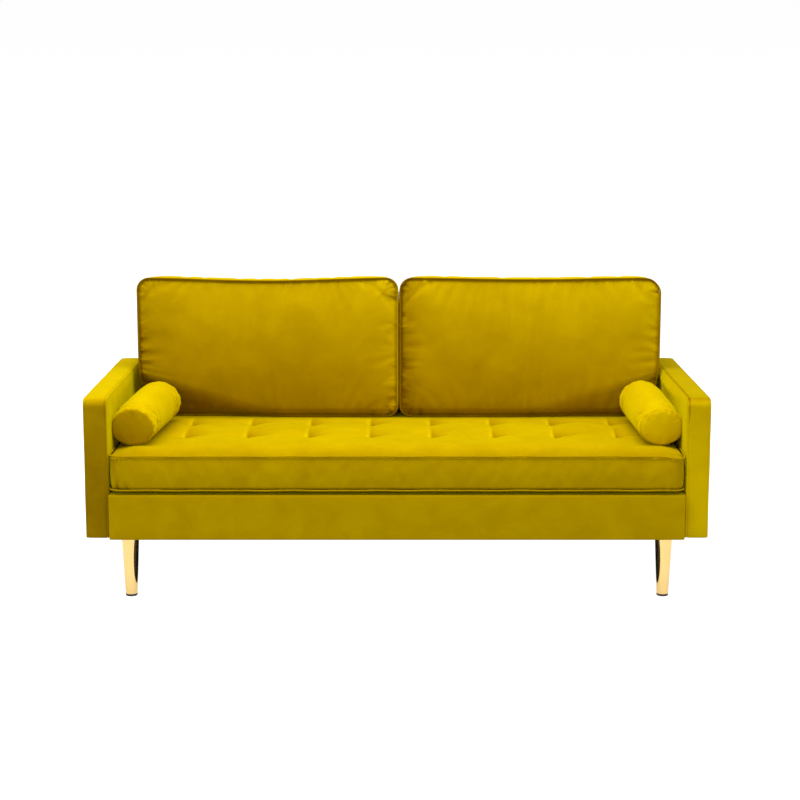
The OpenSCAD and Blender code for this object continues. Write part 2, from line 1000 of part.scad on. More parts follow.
module back_cushion_right_cover() {
    back_cushion_cover(1);
}

module back_cushion_right_piping() {
    back_cushion_piping(1);
}

// ---------- Bolsters ----------

// A bolster's outline across its length: an oval
module oval(w, h) {
    steps = 36;
    polygon([for (i = [0 : steps - 1]) [w / 2 * cos(360 * i / steps), h / 2 * sin(360 * i / steps)]]);
}

// A bolster's form along Y, made smaller by shrink
module bolster_form(side, turn, shrink) {
    reach_x = bolster_len / 2 * sin(turn) + bolster_w / 2 * cos(turn);
    reach_y = bolster_len / 2 * cos(turn) + bolster_w / 2 * sin(turn);
    translate([
        side * (inner_x - bolster_side_gap - reach_x),
        back_cushion_front_y - bolster_rear_gap - reach_y,
        bolster_z
    ])
        rotate([0, 0, side * turn])
            translate([0, bolster_len / 2 - shrink, 0])
                rotate([90, 0, 0])
                    linear_extrude(bolster_len - 2 * shrink)
                        oval(bolster_w - 2 * shrink, bolster_h - 2 * shrink);
}

module bolster_core(side, turn) {
    color(foam_color)
        bolster_form(side, turn, fabric_t + fill_gap);
}

module bolster_cover(side, turn) {
    color(fabric_color)
        difference() {
            bolster_form(side, turn, 0);
            bolster_form(side, turn, fabric_t);
        }
}

module bolster_left_core() {
    bolster_core(-1, bolster_left_turn);
}

module bolster_left_cover() {
    bolster_cover(-1, bolster_left_turn);
}

module bolster_right_core() {
    bolster_core(1, bolster_right_turn);
}

module bolster_right_cover() {
    bolster_cover(1, bolster_right_turn);
}

// ---------- Every node by name ----------

seat_front_rail();
seat_rear_rail();
seat_left_rail();
seat_right_rail();
seat_center_rail();
corner_blocks();
seat_springs();
spring_clips();
base_padding();
base_cover();
dust_cover();
leg_front_left();
leg_front_right();
leg_rear_left();
leg_rear_right();
glide_front_left();
glide_front_right();
glide_rear_left();
glide_rear_right();
leg_plates();
leg_plate_screws();
leg_studs();
arm_left_top_rail();
arm_left_bottom_rail();
arm_left_front_post();
arm_left_rear_post();
arm_left_padding();
arm_left_cover();
arm_right_top_rail();
arm_right_bottom_rail();
arm_right_front_post();
arm_right_rear_post();
arm_right_padding();
arm_right_cover();
back_top_rail();
back_bottom_rail();
back_left_stile();
back_right_stile();
back_center_stile();
back_webbing();
back_padding();
back_cover();
arm_bolts();
back_bolts();
frame_washers();
frame_tee_nuts();
seat_cushion_core();
seat_cushion_cover();
seat_cushion_piping();
seat_tuft_ties();
back_cushion_left_core();
back_cushion_left_cover();
back_cushion_left_piping();
back_cushion_right_core();
back_cushion_right_cover();
back_cushion_right_piping();
bolster_left_core();
bolster_left_cover();
bolster_right_core();
bolster_right_cover();
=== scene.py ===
import math

import bmesh
import bpy
import numpy as np
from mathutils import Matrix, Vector, noise


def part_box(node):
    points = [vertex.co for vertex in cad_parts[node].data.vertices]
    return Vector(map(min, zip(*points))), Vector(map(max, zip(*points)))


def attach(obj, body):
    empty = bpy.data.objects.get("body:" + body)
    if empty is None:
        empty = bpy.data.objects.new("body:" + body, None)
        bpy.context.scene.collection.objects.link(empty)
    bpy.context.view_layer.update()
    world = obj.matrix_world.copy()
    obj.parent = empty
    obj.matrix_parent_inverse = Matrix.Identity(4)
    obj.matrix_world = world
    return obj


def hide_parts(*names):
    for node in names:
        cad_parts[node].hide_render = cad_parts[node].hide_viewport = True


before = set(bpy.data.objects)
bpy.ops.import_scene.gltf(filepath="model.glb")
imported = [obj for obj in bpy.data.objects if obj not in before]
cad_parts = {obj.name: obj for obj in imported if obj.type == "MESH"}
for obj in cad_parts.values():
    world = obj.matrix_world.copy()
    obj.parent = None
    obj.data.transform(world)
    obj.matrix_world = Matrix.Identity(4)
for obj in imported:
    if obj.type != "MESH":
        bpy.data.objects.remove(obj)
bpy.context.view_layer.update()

bl_info = {
    "name": "Two-seat velvet sofa",
    "version": (1, 0, 0),
    "blender": (4, 5, 0),
    "location": "View3D > Sidebar > Sofa",
    "description": "Upholsters a boxed two-seat sofa with loose cushions, bolsters and metal legs",
    "category": "Object",
}


# ---------------------------------------------------------------- sizes and colours

def length_property(name, description, metres):
    return bpy.props.FloatProperty(
        name=name, description=description, default=metres, unit="LENGTH")


def turn_property(name, description, degrees):
    return bpy.props.FloatProperty(
        name=name, description=description, default=math.radians(degrees), subtype="ANGLE")


class SofaSizes(bpy.types.PropertyGroup):
    """Sizes of the upholstery that a maker would change"""
    cloth_cell: length_property("Cloth cell", "Size of the cloth's cells in the loose cushions", 0.0065)
    piping_width: length_property(
        "Piping width", "Diameter of the covered cord sewn into the seams", 0.0052)
    seat_corner: length_property(
        "Seat corner", "Corner radius of the seat cushion seen from above", 0.030)
    back_corner: length_property(
        "Back corner", "Corner radius of a back cushion seen from the front", 0.036)
    tuft_pitch: length_property("Tuft pitch", "Distance between tufts in a row", 0.182)
    tuft_depth: length_property(
        "Tuft depth", "How far a tuft is pulled below the seat's crown", 0.007)
    bolster_length: length_property("Bolster length", "Length of a bolster over its ends", 0.400)
    bolster_width: length_property("Bolster width", "Width of a bolster", 0.122)
    bolster_turn_left: turn_property(
        "Left bolster turn", "How far the left bolster lies out of line", -5)
    bolster_turn_right: turn_property(
        "Right bolster turn", "How far the right bolster lies out of line", 2)


def linear(hex_colour):
    """Turns an sRGB hex colour to Blender's linear colour."""
    parts = [int(hex_colour[i:i + 2], 16) / 255 for i in (1, 3, 5)]
    return tuple(c / 12.92 if c <= 0.04045 else ((c + 0.055) / 1.055) ** 2.4
                 for c in parts) + (1.0,)


def colour_property(name, description, hex_colour):
    return bpy.props.FloatVectorProperty(
        name=name, description=description, size=4, min=0, max=1, subtype="COLOR",
        default=linear(hex_colour))


class SofaColours(bpy.types.PropertyGroup):
    """Colours of the sofa's finishes"""
    velvet: colour_property("Velvet", "Mustard velvet seen along its pile", "#A78600")
    # The shade and light colours are painted shade and painted light: the ends of the velvet's ramp,
    # reached by each cover's painted light and shade and, a little, by the brushed patches of pile
    velvet_shaded: colour_property(
        "Velvet shade", "Mustard velvet where the pile leans away", "#725000")
    velvet_lit: colour_property(
        "Velvet light", "Mustard velvet where the pile leans towards the light", "#D0B100")
    velvet_sheen: colour_property("Velvet sheen", "Tint of the pile's tips", "#FFF800")
    gold: colour_property("Gold plating", "Polished gold-plated steel", "#E4C27E")
    foam: colour_property("Foam", "Seat and back foam", "#E9E2C8")
    wood: colour_property("Frame wood", "Sawn pine", "#CBAF89")
    wood_grain: colour_property("Wood grain", "Late wood in the pine", "#B08A58")
    steel: colour_property("Spring steel", "Oiled spring steel", "#8D8F92")
    zinc: colour_property("Zinc", "Zinc-plated steel", "#B9BDC1")
    glide: colour_property("Glide", "Black nylon", "#161616")
    dust: colour_property("Dust cloth", "Black spun-bonded cloth", "#1C1B1A")
    webbing: colour_property("Webbing", "Woven elastic webbing", "#5A5550")
    twine: colour_property("Twine", "Waxed tufting twine", "#B79A3A")
    floor: colour_property("Floor", "White light-table floor", "#9A9A9A")


# ---------------------------------------------------------------- modelling helpers

def clear_selection():
    bpy.ops.object.select_all(action="DESELECT")


def select_only(*objects):
    clear_selection()
    for obj in objects:
        obj.select_set(True)
    bpy.context.view_layer.objects.active = objects[0]


def flat_floats(values):
    return np.ascontiguousarray(values, dtype=np.float32).ravel()


def points_of(obj):
    points = np.empty(len(obj.data.vertices) * 3)
    obj.data.vertices.foreach_get("co", points)
    return points.reshape(-1, 3)


def set_points(obj, points):
    obj.data.vertices.foreach_set("co", flat_floats(points))
    obj.data.update()


def normals_of(obj):
    normals = np.empty(len(obj.data.vertices) * 3)
    obj.data.vertices.foreach_get("normal", normals)
    return normals.reshape(-1, 3)


def apply_modifier(obj, kind, **settings):
    """Adds a modifier with its settings and applies it."""
    modifier = obj.modifiers.new(kind.lower(), kind)
    for key, value in settings.items():
        setattr(modifier, key, value)
    select_only(obj)
    bpy.ops.object.modifier_apply(modifier=modifier.name)


def block(name, low, high):
    """A block from its low corner to its high corner, with its place in its mesh."""
    clear_selection()
    middle = [(a + b) / 2 for a, b in zip(low, high)]
    bpy.ops.mesh.primitive_cube_add(size=1, location=middle)
    obj = bpy.context.object
    obj.name = name
    obj.data.name = name
    obj.scale = [b - a for a, b in zip(low, high)]
    bpy.ops.object.transform_apply(location=True, rotation=True, scale=True)
    return obj


def round_edges(obj, chosen, width, segments):
    """Bevels the edges that chosen(edge, middle, direction) picks."""
    select_only(obj)
    bpy.ops.object.mode_set(mode="EDIT")
    bpy.ops.mesh.select_mode(type="EDGE")
    bpy.ops.mesh.select_all(action="DESELECT")
    mesh = bmesh.from_edit_mesh(obj.data)
    for edge in mesh.edges:
        a, b = edge.verts[0].co, edge.verts[1].co
        edge.select_set(bool(chosen(edge, (a + b) / 2, (b - a).normalized())))
    bmesh.update_edit_mesh(obj.data)
    bpy.ops.mesh.bevel(offset=width, segments=segments, affect="EDGES")
    bpy.ops.object.mode_set(mode="OBJECT")


def cut_rows(obj, axis, places):
    """Cuts the mesh straight across an axis at each place."""
    select_only(obj)
    bpy.ops.object.mode_set(mode="EDIT")
    across = [0.0, 0.0, 0.0]
    across[axis] = 1.0
    for place in places:
        point = [0.0, 0.0, 0.0]
        point[axis] = place
        bpy.ops.mesh.select_all(action="SELECT")
        bpy.ops.mesh.bisect(plane_co=point, plane_no=across)
    bpy.ops.object.mode_set(mode="OBJECT")


def smooth(obj):
    select_only(obj)
    bpy.ops.object.shade_smooth()


def spread(distance, reach):
    """A soft bell: 1 at no distance, and close to 0 past twice the reach."""
    return np.exp(-(distance / reach) ** 2)


def soft_limit(values, limit, give=0.004):
    """Holds values within a limit either way, with a round shoulder instead of a hard stop."""
    free = limit - give
    over = np.maximum(np.abs(values) - free, 0)
    return np.sign(values) * (np.minimum(np.abs(values), free) + give * (1 - np.exp(-over / give)))


def ease(value, start, end):
    """0 up to start, 1 from end, and a smooth step between them."""
    t = np.clip((value - start) / (end - start), 0, 1)
    return t * t * (3 - 2 * t)


def lumps(points, size, seed):
    """Slow random unevenness from -1 to 1, the same in every run."""
    shift = Vector((seed * 3.1, seed * 1.7, seed * 2.3))
    return np.array([noise.noise(Vector(p) / size + shift) for p in points])


def keep_rest(obj, points):
    """Stores where each point lay on the flat pattern, which later cuts carry along."""
    attribute = obj.data.attributes.new("rest", "FLOAT_VECTOR", "POINT")
    attribute.data.foreach_set("vector", flat_floats(points))


def take_rest(obj):
    attribute = obj.data.attributes["rest"]
    points = np.empty(len(obj.data.vertices) * 3)
    attribute.data.foreach_get("vector", points)
    obj.data.attributes.remove(attribute)
    return points.reshape(-1, 3)


def paint_shading(obj, values):
    """Painted light and shade at each point: 0 is dark, 0.5 is plain and 1 is bright."""
    attribute = obj.data.attributes.new("painted_shading", "FLOAT", "POINT")
    attribute.data.foreach_set("value", flat_floats(np.clip(values, 0, 1)))


def shape_cover(obj, points, painted_shading):
    """Gives a cover its final points, smooth shading and its painted light and shade."""
    set_points(obj, points)
    smooth(obj)
    paint_shading(obj, painted_shading)


# ---------------------------------------------------------------- sewn forms

COVER_INSET = 0.0015      # a loose cover is cut this much inside its solid, and fills out to it
SEAM_DEPTH = 0.0025       # from a side of the piping's box to the middle of its cord


def ring(low, high, corner, step=0.006):
    """Points of a rounded rectangle, with the way out at each and the length so far."""
    half = (np.array(high) - np.array(low)) / 2
    middle = (np.array(high) + np.array(low)) / 2
    points, outward = [], []
    # From the lower right corner, up the right side and back along the top
    turns = [(1, -1, -90), (1, 1, 0), (-1, 1, 90), (-1, -1, 180)]
    for k, (sx, sy, begin) in enumerate(turns):
        centre = middle + np.array([sx, sy]) * (half - corner)
        count = max(4, int(corner * math.pi / 2 / step))
        for i in range(count + 1):
            angle = math.radians(begin + 90 * i / count)
            way = np.array([math.cos(angle), math.sin(angle)])
            points.append(centre + corner * way)
            outward.append(way)
        next_sx, next_sy, _ = turns[(k + 1) % 4]
        goal = middle + np.array([next_sx, next_sy]) * (half - corner)
        goal = goal + corner * way
        count = max(2, int(np.linalg.norm(goal - points[-1]) / step))
        start = points[-1]
        for i in range(1, count):
            points.append(start + (goal - start) * i / count)
            outward.append(way)
    points, outward = np.array(points), np.array(outward)
    gaps = np.linalg.norm(np.roll(points, -1, axis=0) - points, axis=1)
    along = np.concatenate([[0], np.cumsum(gaps)[:-1]])
    return points, outward, along, gaps.sum()


def near_ring(flat_points, ring_points, along):
    """For each point, its distance to the ring and how far round the ring that is."""
    distance = np.empty(len(flat_points))
    place = np.empty(len(flat_points))
    batch = 20000
    for start in range(0, len(flat_points), batch):
        part = flat_points[start:start + batch]
        gaps = ((part[:, None, :] - ring_points[None, :, :]) ** 2).sum(2)
        nearest = gaps.argmin(1)
        distance[start:start + batch] = np.sqrt(gaps[np.arange(len(part)), nearest])
        place[start:start + batch] = along[nearest]
    return distance, place


def swell(obj, fixed, pressure, spare, limit, steps=20):
    """Blows a cover up with Cloth, its sewn points held, and caps how far a point moves."""
    before = points_of(obj)
    group = obj.vertex_groups.new(name="sewn")
    group.add([int(i) for i in np.nonzero(fixed)[0]], 1.0, "REPLACE")
    cloth = obj.modifiers.new("cloth", "CLOTH")
    feel = {"quality": 5, "mass": 0.3, "tension_stiffness": 15, "compression_stiffness": 15,
            "shear_stiffness": 8, "bending_stiffness": 1.2, "air_damping": 3,
            "vertex_group_mass": "sewn", "use_pressure": True,
            "uniform_pressure_force": pressure, "shrink_min": -spare}
    for key, value in feel.items():
        setattr(cloth.settings, key, value)
    cloth.settings.effector_weights.gravity = 0
    cloth.collision_settings.use_collision = False
    cloth.point_cache.frame_start = 1
    cloth.point_cache.frame_end = steps
    scene = bpy.context.scene
    for frame_number in range(1, steps + 1):
        scene.frame_set(frame_number)
    select_only(obj)
    bpy.ops.object.modifier_apply(modifier=cloth.name)
    scene.frame_set(1)
    obj.vertex_groups.clear()
    moved = points_of(obj) - before
    length = np.linalg.norm(moved, axis=1, keepdims=True)
    share = limit * np.tanh(length / limit) / np.maximum(length, 1e-9)
    set_points(obj, before + moved * share)


def gathers(along, distance, total, zones, seed):
    """Height of the little pleats by a seam. A zone is (from, to, how many, height, length)."""
    rng = np.random.default_rng(seed)
    height = np.zeros(len(along))
    for begin, end, count, strength, reach in zones:
        for _ in range(count):
            place = rng.uniform(begin, end) * total
            tall = strength * rng.uniform(0.4, 1.0) * rng.choice([-1.0, 1.0], p=[0.65, 0.35])
            long = reach * rng.uniform(0.5, 1.2)
            wide = rng.uniform(0.0030, 0.0060)
            drift = rng.uniform(-0.35, 0.35)
            gap = (along - place - drift * distance + total / 2) % total - total / 2
            height += tall * spread(gap, wide + distance * 0.10) * np.exp(-(distance / long) ** 1.6)
    # The stitching itself holds the cloth to the cord
    return height * (0.15 + 0.85 * ease(distance, 0.0, 0.006))


def piping(name, loops, width):
    """Covered cord along closed loops of points."""
    curve = bpy.data.curves.new(name, "CURVE")
    curve.dimensions = "3D"
    curve.bevel_depth = width / 2
    curve.bevel_resolution = 3
    for loop in loops:
        spline = curve.splines.new("POLY")
        spline.points.add(len(loop) - 1)
        spline.points.foreach_set("co", np.hstack([loop, np.ones((len(loop), 1))]).ravel())
        spline.use_cyclic_u = True
    obj = bpy.data.objects.new(name, curve)
    bpy.context.scene.collection.objects.link(obj)
    select_only(obj)
    bpy.ops.object.convert(target="MESH")
    obj = bpy.context.object
    smooth(obj)
    return obj


def foam_inside(name, cover, depth, share, form=None):
    """The filling: a cover's copy, drawn in by depth, with a share of its faces. form is unpleated."""
    select_only(cover)
    bpy.ops.object.duplicate(linked=False)
    core = bpy.context.object
    core.name = name
    core.data.name = name
    core.data.materials.clear()
    if form is not None:
        set_points(core, form)
    set_points(core, points_of(core) - normals_of(core) * depth)
    apply_modifier(core, "SMOOTH", factor=0.8, iterations=8)
    apply_modifier(core, "DECIMATE", ratio=share)
    smooth(core)
    return core


def stuffed_block(name, low, high, axis, corner, cell, pressure, spare, limit,
                  extra_fixed=None):
    """A boxed cushion: two panels across axis, sewn to a boxing strip."""
    obj = block(name, low, high)
    round_edges(obj, lambda edge, middle, way: abs(way[axis]) > 0.9, corner, 6)
    apply_modifier(obj, "REMESH", mode="VOXEL", voxel_size=cell)
    rest = points_of(obj)
    keep_rest(obj, rest)
    side = [i for i in range(3) if i != axis]
    loop, _, along, _ = ring([low[i] for i in side], [high[i] for i in side], corner)
    flat, _ = near_ring(rest[:, side], loop, along)
    across = np.minimum(abs(rest[:, axis] - low[axis]), abs(rest[:, axis] - high[axis]))
    seam = np.hypot(flat, across)
    fixed = seam < cell * 0.75
    if extra_fixed is not None:
        fixed |= extra_fixed(rest)
    swell(obj, fixed, pressure, spare, limit)
    return obj


def halve_cells(obj):
    """Subdivides a blown-up cover once. Returns its points on the flat pattern and as they are."""
    apply_modifier(obj, "SUBSURF", levels=1, render_levels=1)
    return take_rest(obj), points_of(obj)


def dress(obj, body, slot, finish, *nodes, fill=None):
    """Gives a piece its finish and body, and hides the nodes that it stands for. Its slot and fill are
    not used.
    """
    obj.data.materials.clear()
    obj.data.materials.append(finish_named(finish))
    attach(obj, body)
    if nodes:
        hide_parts(*nodes)


# ---------------------------------------------------------------- materials

def set_inputs(tree, node, values=None, links=None):
    """Sets a node's input values and makes its incoming links."""
    for key, value in (values or {}).items():
        node.inputs[key].default_value = value
    for key, output in (links or {}).items():
        tree.links.new(output, node.inputs[key])


def add_node(tree, kind, values=None, links=None, stops=(), **settings):
    """Adds a shader node with its settings, values, links and ramp stops. Returns its outputs."""
    node = tree.nodes.new(kind)
    for key, value in settings.items():
        setattr(node, key, value)
    set_inputs(tree, node, values, links)
    if stops:
        elements = node.color_ramp.elements
        while len(elements) < len(stops):
            elements.new(0.5)
        for element, (position, colour) in zip(elements, stops):
            element.position = position
            element.color = colour
    return node.outputs


def new_material(name):
    """A material, its node tree, its principled shader and its Object coordinates."""
    material = bpy.data.materials.new(name)
    material.use_nodes = True
    tree = material.node_tree
    place = add_node(tree, "ShaderNodeTexCoord")["Object"]
    return material, tree, tree.nodes["Principled BSDF"], place


def dim(colour, share):
    return [c * share for c in colour[:3]] + [1.0]


def cut_velvet(name, sheen):
    """Cut-pile polyester velvet: a dull body, and a soft bright edge where the pile is side on."""
    colours = bpy.context.scene.sofa_colours
    material, tree, shader, place = new_material(name)
    # Painted light and shade, stored on each cover as a point attribute
    shading_paint = add_node(tree, "ShaderNodeAttribute", attribute_name="painted_shading")
    # Hand-sized patches, where the pile has been brushed one way or the other
    brushed = add_node(tree, "ShaderNodeTexNoise",
                       {"Scale": 1 / 0.080, "Detail": 3.0, "Roughness": 0.55, "Distortion": 0.4},
                       {"Vector": place})
    # The pile's own grain is 0.3 mm and is drawn at 2 mm so that it shows
    pile = add_node(tree, "ShaderNodeTexNoise",
                    {"Scale": 1 / 0.0020, "Detail": 2.0, "Roughness": 0.6}, {"Vector": place})
    patch = add_node(tree, "ShaderNodeMath", {1: 0.30}, {0: brushed["Fac"]}, operation="MULTIPLY")
    grain = add_node(tree, "ShaderNodeMath", {1: 0.16}, {0: pile["Fac"]}, operation="MULTIPLY")
    both = add_node(tree, "ShaderNodeMath", {}, {0: patch[0], 1: grain[0]}, operation="ADD")
    # Half of both patterns taken off, so that they brighten and darken alike
    level = add_node(tree, "ShaderNodeMath", {1: -0.23}, {0: both[0]}, operation="ADD")
    # The painted light and shade is added to the brushed patches and grain
    total = add_node(tree, "ShaderNodeMath", {}, {0: level[0], 1: shading_paint["Fac"]}, operation="ADD")
    # The ramp runs from painted shade through the plain velvet to painted light
    shade = add_node(tree, "ShaderNodeValToRGB", {}, {"Fac": total[0]}, [
        (0.0, colours.velvet_shaded), (0.5, colours.velvet), (1.0, colours.velvet_lit)])
    rise = add_node(tree, "ShaderNodeBump", {"Strength": 0.35, "Distance": 0.0010},
                    {"Height": pile["Fac"]})
    sway = add_node(tree, "ShaderNodeBump", {"Strength": 0.25, "Distance": 0.006},
                    {"Height": brushed["Fac"], "Normal": rise["Normal"]})
    set_inputs(tree, shader, {
        "Roughness": 0.9, "IOR": 1.06, "Specular IOR Level": 0.2, "Sheen Weight": sheen,
        "Sheen Roughness": 0.42, "Sheen Tint": colours.velvet_sheen,
    }, {"Base Color": shade["Color"], "Normal": sway["Normal"]})
    return material


def plated_gold(name):
    """Polished, gold-plated steel: a clear mirror with a faint haze from handling."""
    gold = bpy.context.scene.sofa_colours.gold
    material, tree, shader, place = new_material(name)
    haze = add_node(tree, "ShaderNodeTexNoise", {"Scale": 1 / 0.030, "Detail": 4.0},
                    {"Vector": place})
    gloss = add_node(tree, "ShaderNodeMapRange", {"To Min": 0.06, "To Max": 0.16},
                     {"Value": haze["Fac"]})
    tone = add_node(tree, "ShaderNodeValToRGB", {}, {"Fac": haze["Fac"]},
                    [(0.0, dim(gold, 0.9)), (1.0, gold)])
    set_inputs(tree, shader, {"Metallic": 1.0},
               {"Roughness": gloss["Result"], "Base Color": tone["Color"]})
    return material


def sawn_pine(name, along):
    """Sawn, unfinished pine: grain drawn out along the rail, with darker late wood."""
    colours = bpy.context.scene.sofa_colours
    material, tree, shader, place = new_material(name)
    stretch = [1 / 0.004] * 3
    stretch[along] = 1 / 0.12
    drawn = add_node(tree, "ShaderNodeMapping", {"Scale": stretch}, {"Vector": place})
    grain = add_node(tree, "ShaderNodeTexNoise",
                     {"Scale": 1.0, "Detail": 4.0, "Roughness": 0.6, "Distortion": 0.3},
                     {"Vector": drawn["Vector"]})
    tone = add_node(tree, "ShaderNodeValToRGB", {}, {"Fac": grain["Fac"]},
                    [(0.3, colours.wood_grain), (0.62, colours.wood)])
    fibre = add_node(tree, "ShaderNodeBump", {"Strength": 0.2, "Distance": 0.0003},
                     {"Height": grain["Fac"]})
    set_inputs(tree, shader, {"Roughness": 0.62},
               {"Base Color": tone["Color"], "Normal": fibre["Normal"]})
    return material


def speckled(name, dark, light, size, rough, depth, metallic=0.0):
    """A fine even texture: open-cell foam, drawn steel wire, zinc plating or moulded nylon."""
    material, tree, shader, place = new_material(name)
    spots = add_node(tree, "ShaderNodeTexNoise", {"Scale": 1 / size, "Detail": 3.0},
                     {"Vector": place})
    tone = add_node(tree, "ShaderNodeValToRGB", {}, {"Fac": spots["Fac"]},
                    [(0.35, dark), (0.65, light)])
    dips = add_node(tree, "ShaderNodeBump", {"Strength": 0.4, "Distance": depth},
                    {"Height": spots["Fac"]})
    set_inputs(tree, shader, {"Roughness": rough, "Metallic": metallic},
               {"Base Color": tone["Color"], "Normal": dips["Normal"]})
    return material


def woven(name, dark, light, thread, rough):
    """Woven or spun cloth: crossing threads a set distance apart."""
    material, tree, shader, place = new_material(name)
    across, along = [
        add_node(tree, "ShaderNodeTexWave",
                 {"Scale": 1 / thread / 20, "Distortion": 0.6, "Detail": 1.0},
                 {"Vector": place}, bands_direction=way) for way in "XY"]
    cross = add_node(tree, "ShaderNodeMath", {}, {0: across["Fac"], 1: along["Fac"]},
                     operation="MULTIPLY")
    tone = add_node(tree, "ShaderNodeValToRGB", {}, {"Fac": cross[0]}, [(0.1, dark), (0.8, light)])
    threads = add_node(tree, "ShaderNodeBump", {"Strength": 0.4, "Distance": 0.0004},
                       {"Height": cross[0]})
    set_inputs(tree, shader, {"Roughness": rough},
               {"Base Color": tone["Color"], "Normal": threads["Normal"]})
    return material


def finish_named(name):
    """The material of that name, made once."""
    if name in bpy.data.materials:
        return bpy.data.materials[name]
    colours = bpy.context.scene.sofa_colours
    ways = {
        "cut_velvet": (cut_velvet, 0.6),
        "corded_velvet": (cut_velvet, 0.20),
        "plated_gold": (plated_gold,),
        "sawn_pine_x": (sawn_pine, 0),
        "sawn_pine_y": (sawn_pine, 1),
        "sawn_pine_z": (sawn_pine, 2),
        "seat_foam": (speckled, dim(colours.foam, 0.82), colours.foam, 0.003, 0.95, 0.0008),
        "oiled_spring_wire":
            (speckled, dim(colours.steel, 0.7), colours.steel, 0.006, 0.38, 0.0001, 1.0),
        "zinc_plating": (speckled, dim(colours.zinc, 0.8), colours.zinc, 0.008, 0.34, 0.0001, 1.0),
        "glide_nylon": (speckled, dim(colours.glide, 0.7), colours.glide, 0.002, 0.5, 0.0001),
        "spun_bonded_cloth": (woven, dim(colours.dust, 0.6), colours.dust, 0.003, 0.95),
        "elastic_webbing": (woven, dim(colours.webbing, 0.6), colours.webbing, 0.003, 0.85),
        "waxed_twine": (woven, dim(colours.twine, 0.6), colours.twine, 0.001, 0.6),
    }
    make, *values = ways[name]
    return make(name, *values)


# ---------------------------------------------------------------- operators

class SOFA_OT_stage(bpy.types.Operator):
    """Camera, floor and soft studio light"""
    bl_idname = "sofa.stage"
    bl_label = "Stage"

    def execute(self, context):
        scene = context.scene
        clear_selection()
        tilt = math.radians(90 - 9.08)
        bpy.ops.object.camera_add(location=(0, -5.321, 1.498), rotation=(tilt, 0, 0))
        camera = context.object
        camera.name = "front_camera"
        camera.data.lens = 80.55
        camera.data.sensor_width = 36
        camera.data.shift_x = 0.00375
        camera.data.shift_y = -0.055
        camera.data.clip_end = 400
        scene.camera = camera

        bpy.ops.mesh.primitive_plane_add(size=320, location=(0, 3, 0))
        floor = context.object
        floor.name = "studio_floor"
        material, tree, shader, place = new_material("studio_floor")
        mottle = add_node(tree, "ShaderNodeTexNoise", {"Scale": 1 / 0.5}, {"Vector": place})
        colour = scene.sofa_colours.floor
        tone = add_node(tree, "ShaderNodeValToRGB", {}, {"Fac": mottle["Fac"]},
                        [(0.0, dim(colour, 0.98)), (1.0, colour)])
        set_inputs(tree, shader, {
            "Roughness": 0.9, "Specular IOR Level": 0.0, "Emission Color": (1, 1, 1, 1),
            "Emission Strength": 0.97}, {"Base Color": tone["Color"]})
        floor.data.materials.append(material)
        # The floor's own light is for the eye and for the polished legs, not for the cloth
        floor.visible_diffuse = False

        # A black card under the front stands in for the shadowed floor under the sofa: hidden from the
        # camera, from diffuse light and from shadows, it is seen only in the polished legs, as a
        # reflected shadow along their inner edge
        bpy.ops.mesh.primitive_circle_add(vertices=64, radius=1, fill_type="NGON",
                                          location=(0, -0.12, 0.0006))
        card = context.object
        card.name = "floor_shadow_card"
        card.scale = (0.70, 0.62, 1.0)
        bpy.ops.object.transform_apply(location=True, rotation=True, scale=True)
        card.data.materials.append(speckled("floor_shadow_card", (0.004, 0.004, 0.004, 1),
                                            (0.008, 0.008, 0.008, 1), 0.01, 0.9, 0.0001))
        card.visible_camera = False
        card.visible_diffuse = False
        card.visible_shadow = False

        world = bpy.data.worlds.new("studio")
        world.use_nodes = True
        tree = world.node_tree
        place = add_node(tree, "ShaderNodeTexCoord")
        split = add_node(tree, "ShaderNodeSeparateXYZ", {}, {"Vector": place["Generated"]})
        height = add_node(tree, "ShaderNodeMapRange", {"From Min": -1.0, "From Max": 1.0},
                          {"Value": split["Z"]})
        # White walls at the horizon, dimmer overhead, and below it what the floor would return
        dome = add_node(tree, "ShaderNodeValToRGB", {}, {"Fac": height["Result"]}, [
            (0.0, (0.50, 0.50, 0.50, 1)), (0.47, (0.52, 0.52, 0.52, 1)), (0.494, (1, 1, 1, 1)),
            (1.0, (0.75, 0.75, 0.75, 1))])
        set_inputs(tree, tree.nodes["Background"], {"Strength": 1.0}, {"Color": dome["Color"]})
        scene.world = world

        bpy.ops.object.light_add(type="AREA", location=(-0.3, -0.9, 3.4), rotation=(0, 0, 0))
        lamp = context.object
        lamp.name = "overhead_softbox"
        lamp.data.shape = "RECTANGLE"
        lamp.data.size = 3.2
        lamp.data.size_y = 2.2
        lamp.data.energy = 130
        scene.view_settings.view_transform = "Standard"
        scene.view_settings.look = "None"
        return {"FINISHED"}


def tuft_points():
    """Where the tufts are: the middles of the ties, from their own solid."""
    low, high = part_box("seat_tuft_ties")
    pitch = bpy.context.scene.sofa_sizes.tuft_pitch
    columns = round((high.x - low.x) / pitch) + 1
    middle_x = (low.x + high.x) / 2
    edge = (high.x - low.x - pitch * (columns - 1)) / 2
    rows = np.array([low.y + edge, (low.y + high.y) / 2, high.y - edge])
    return [(middle_x + pitch * (i - (columns - 1) / 2), y) for y in rows for i in range(columns)]


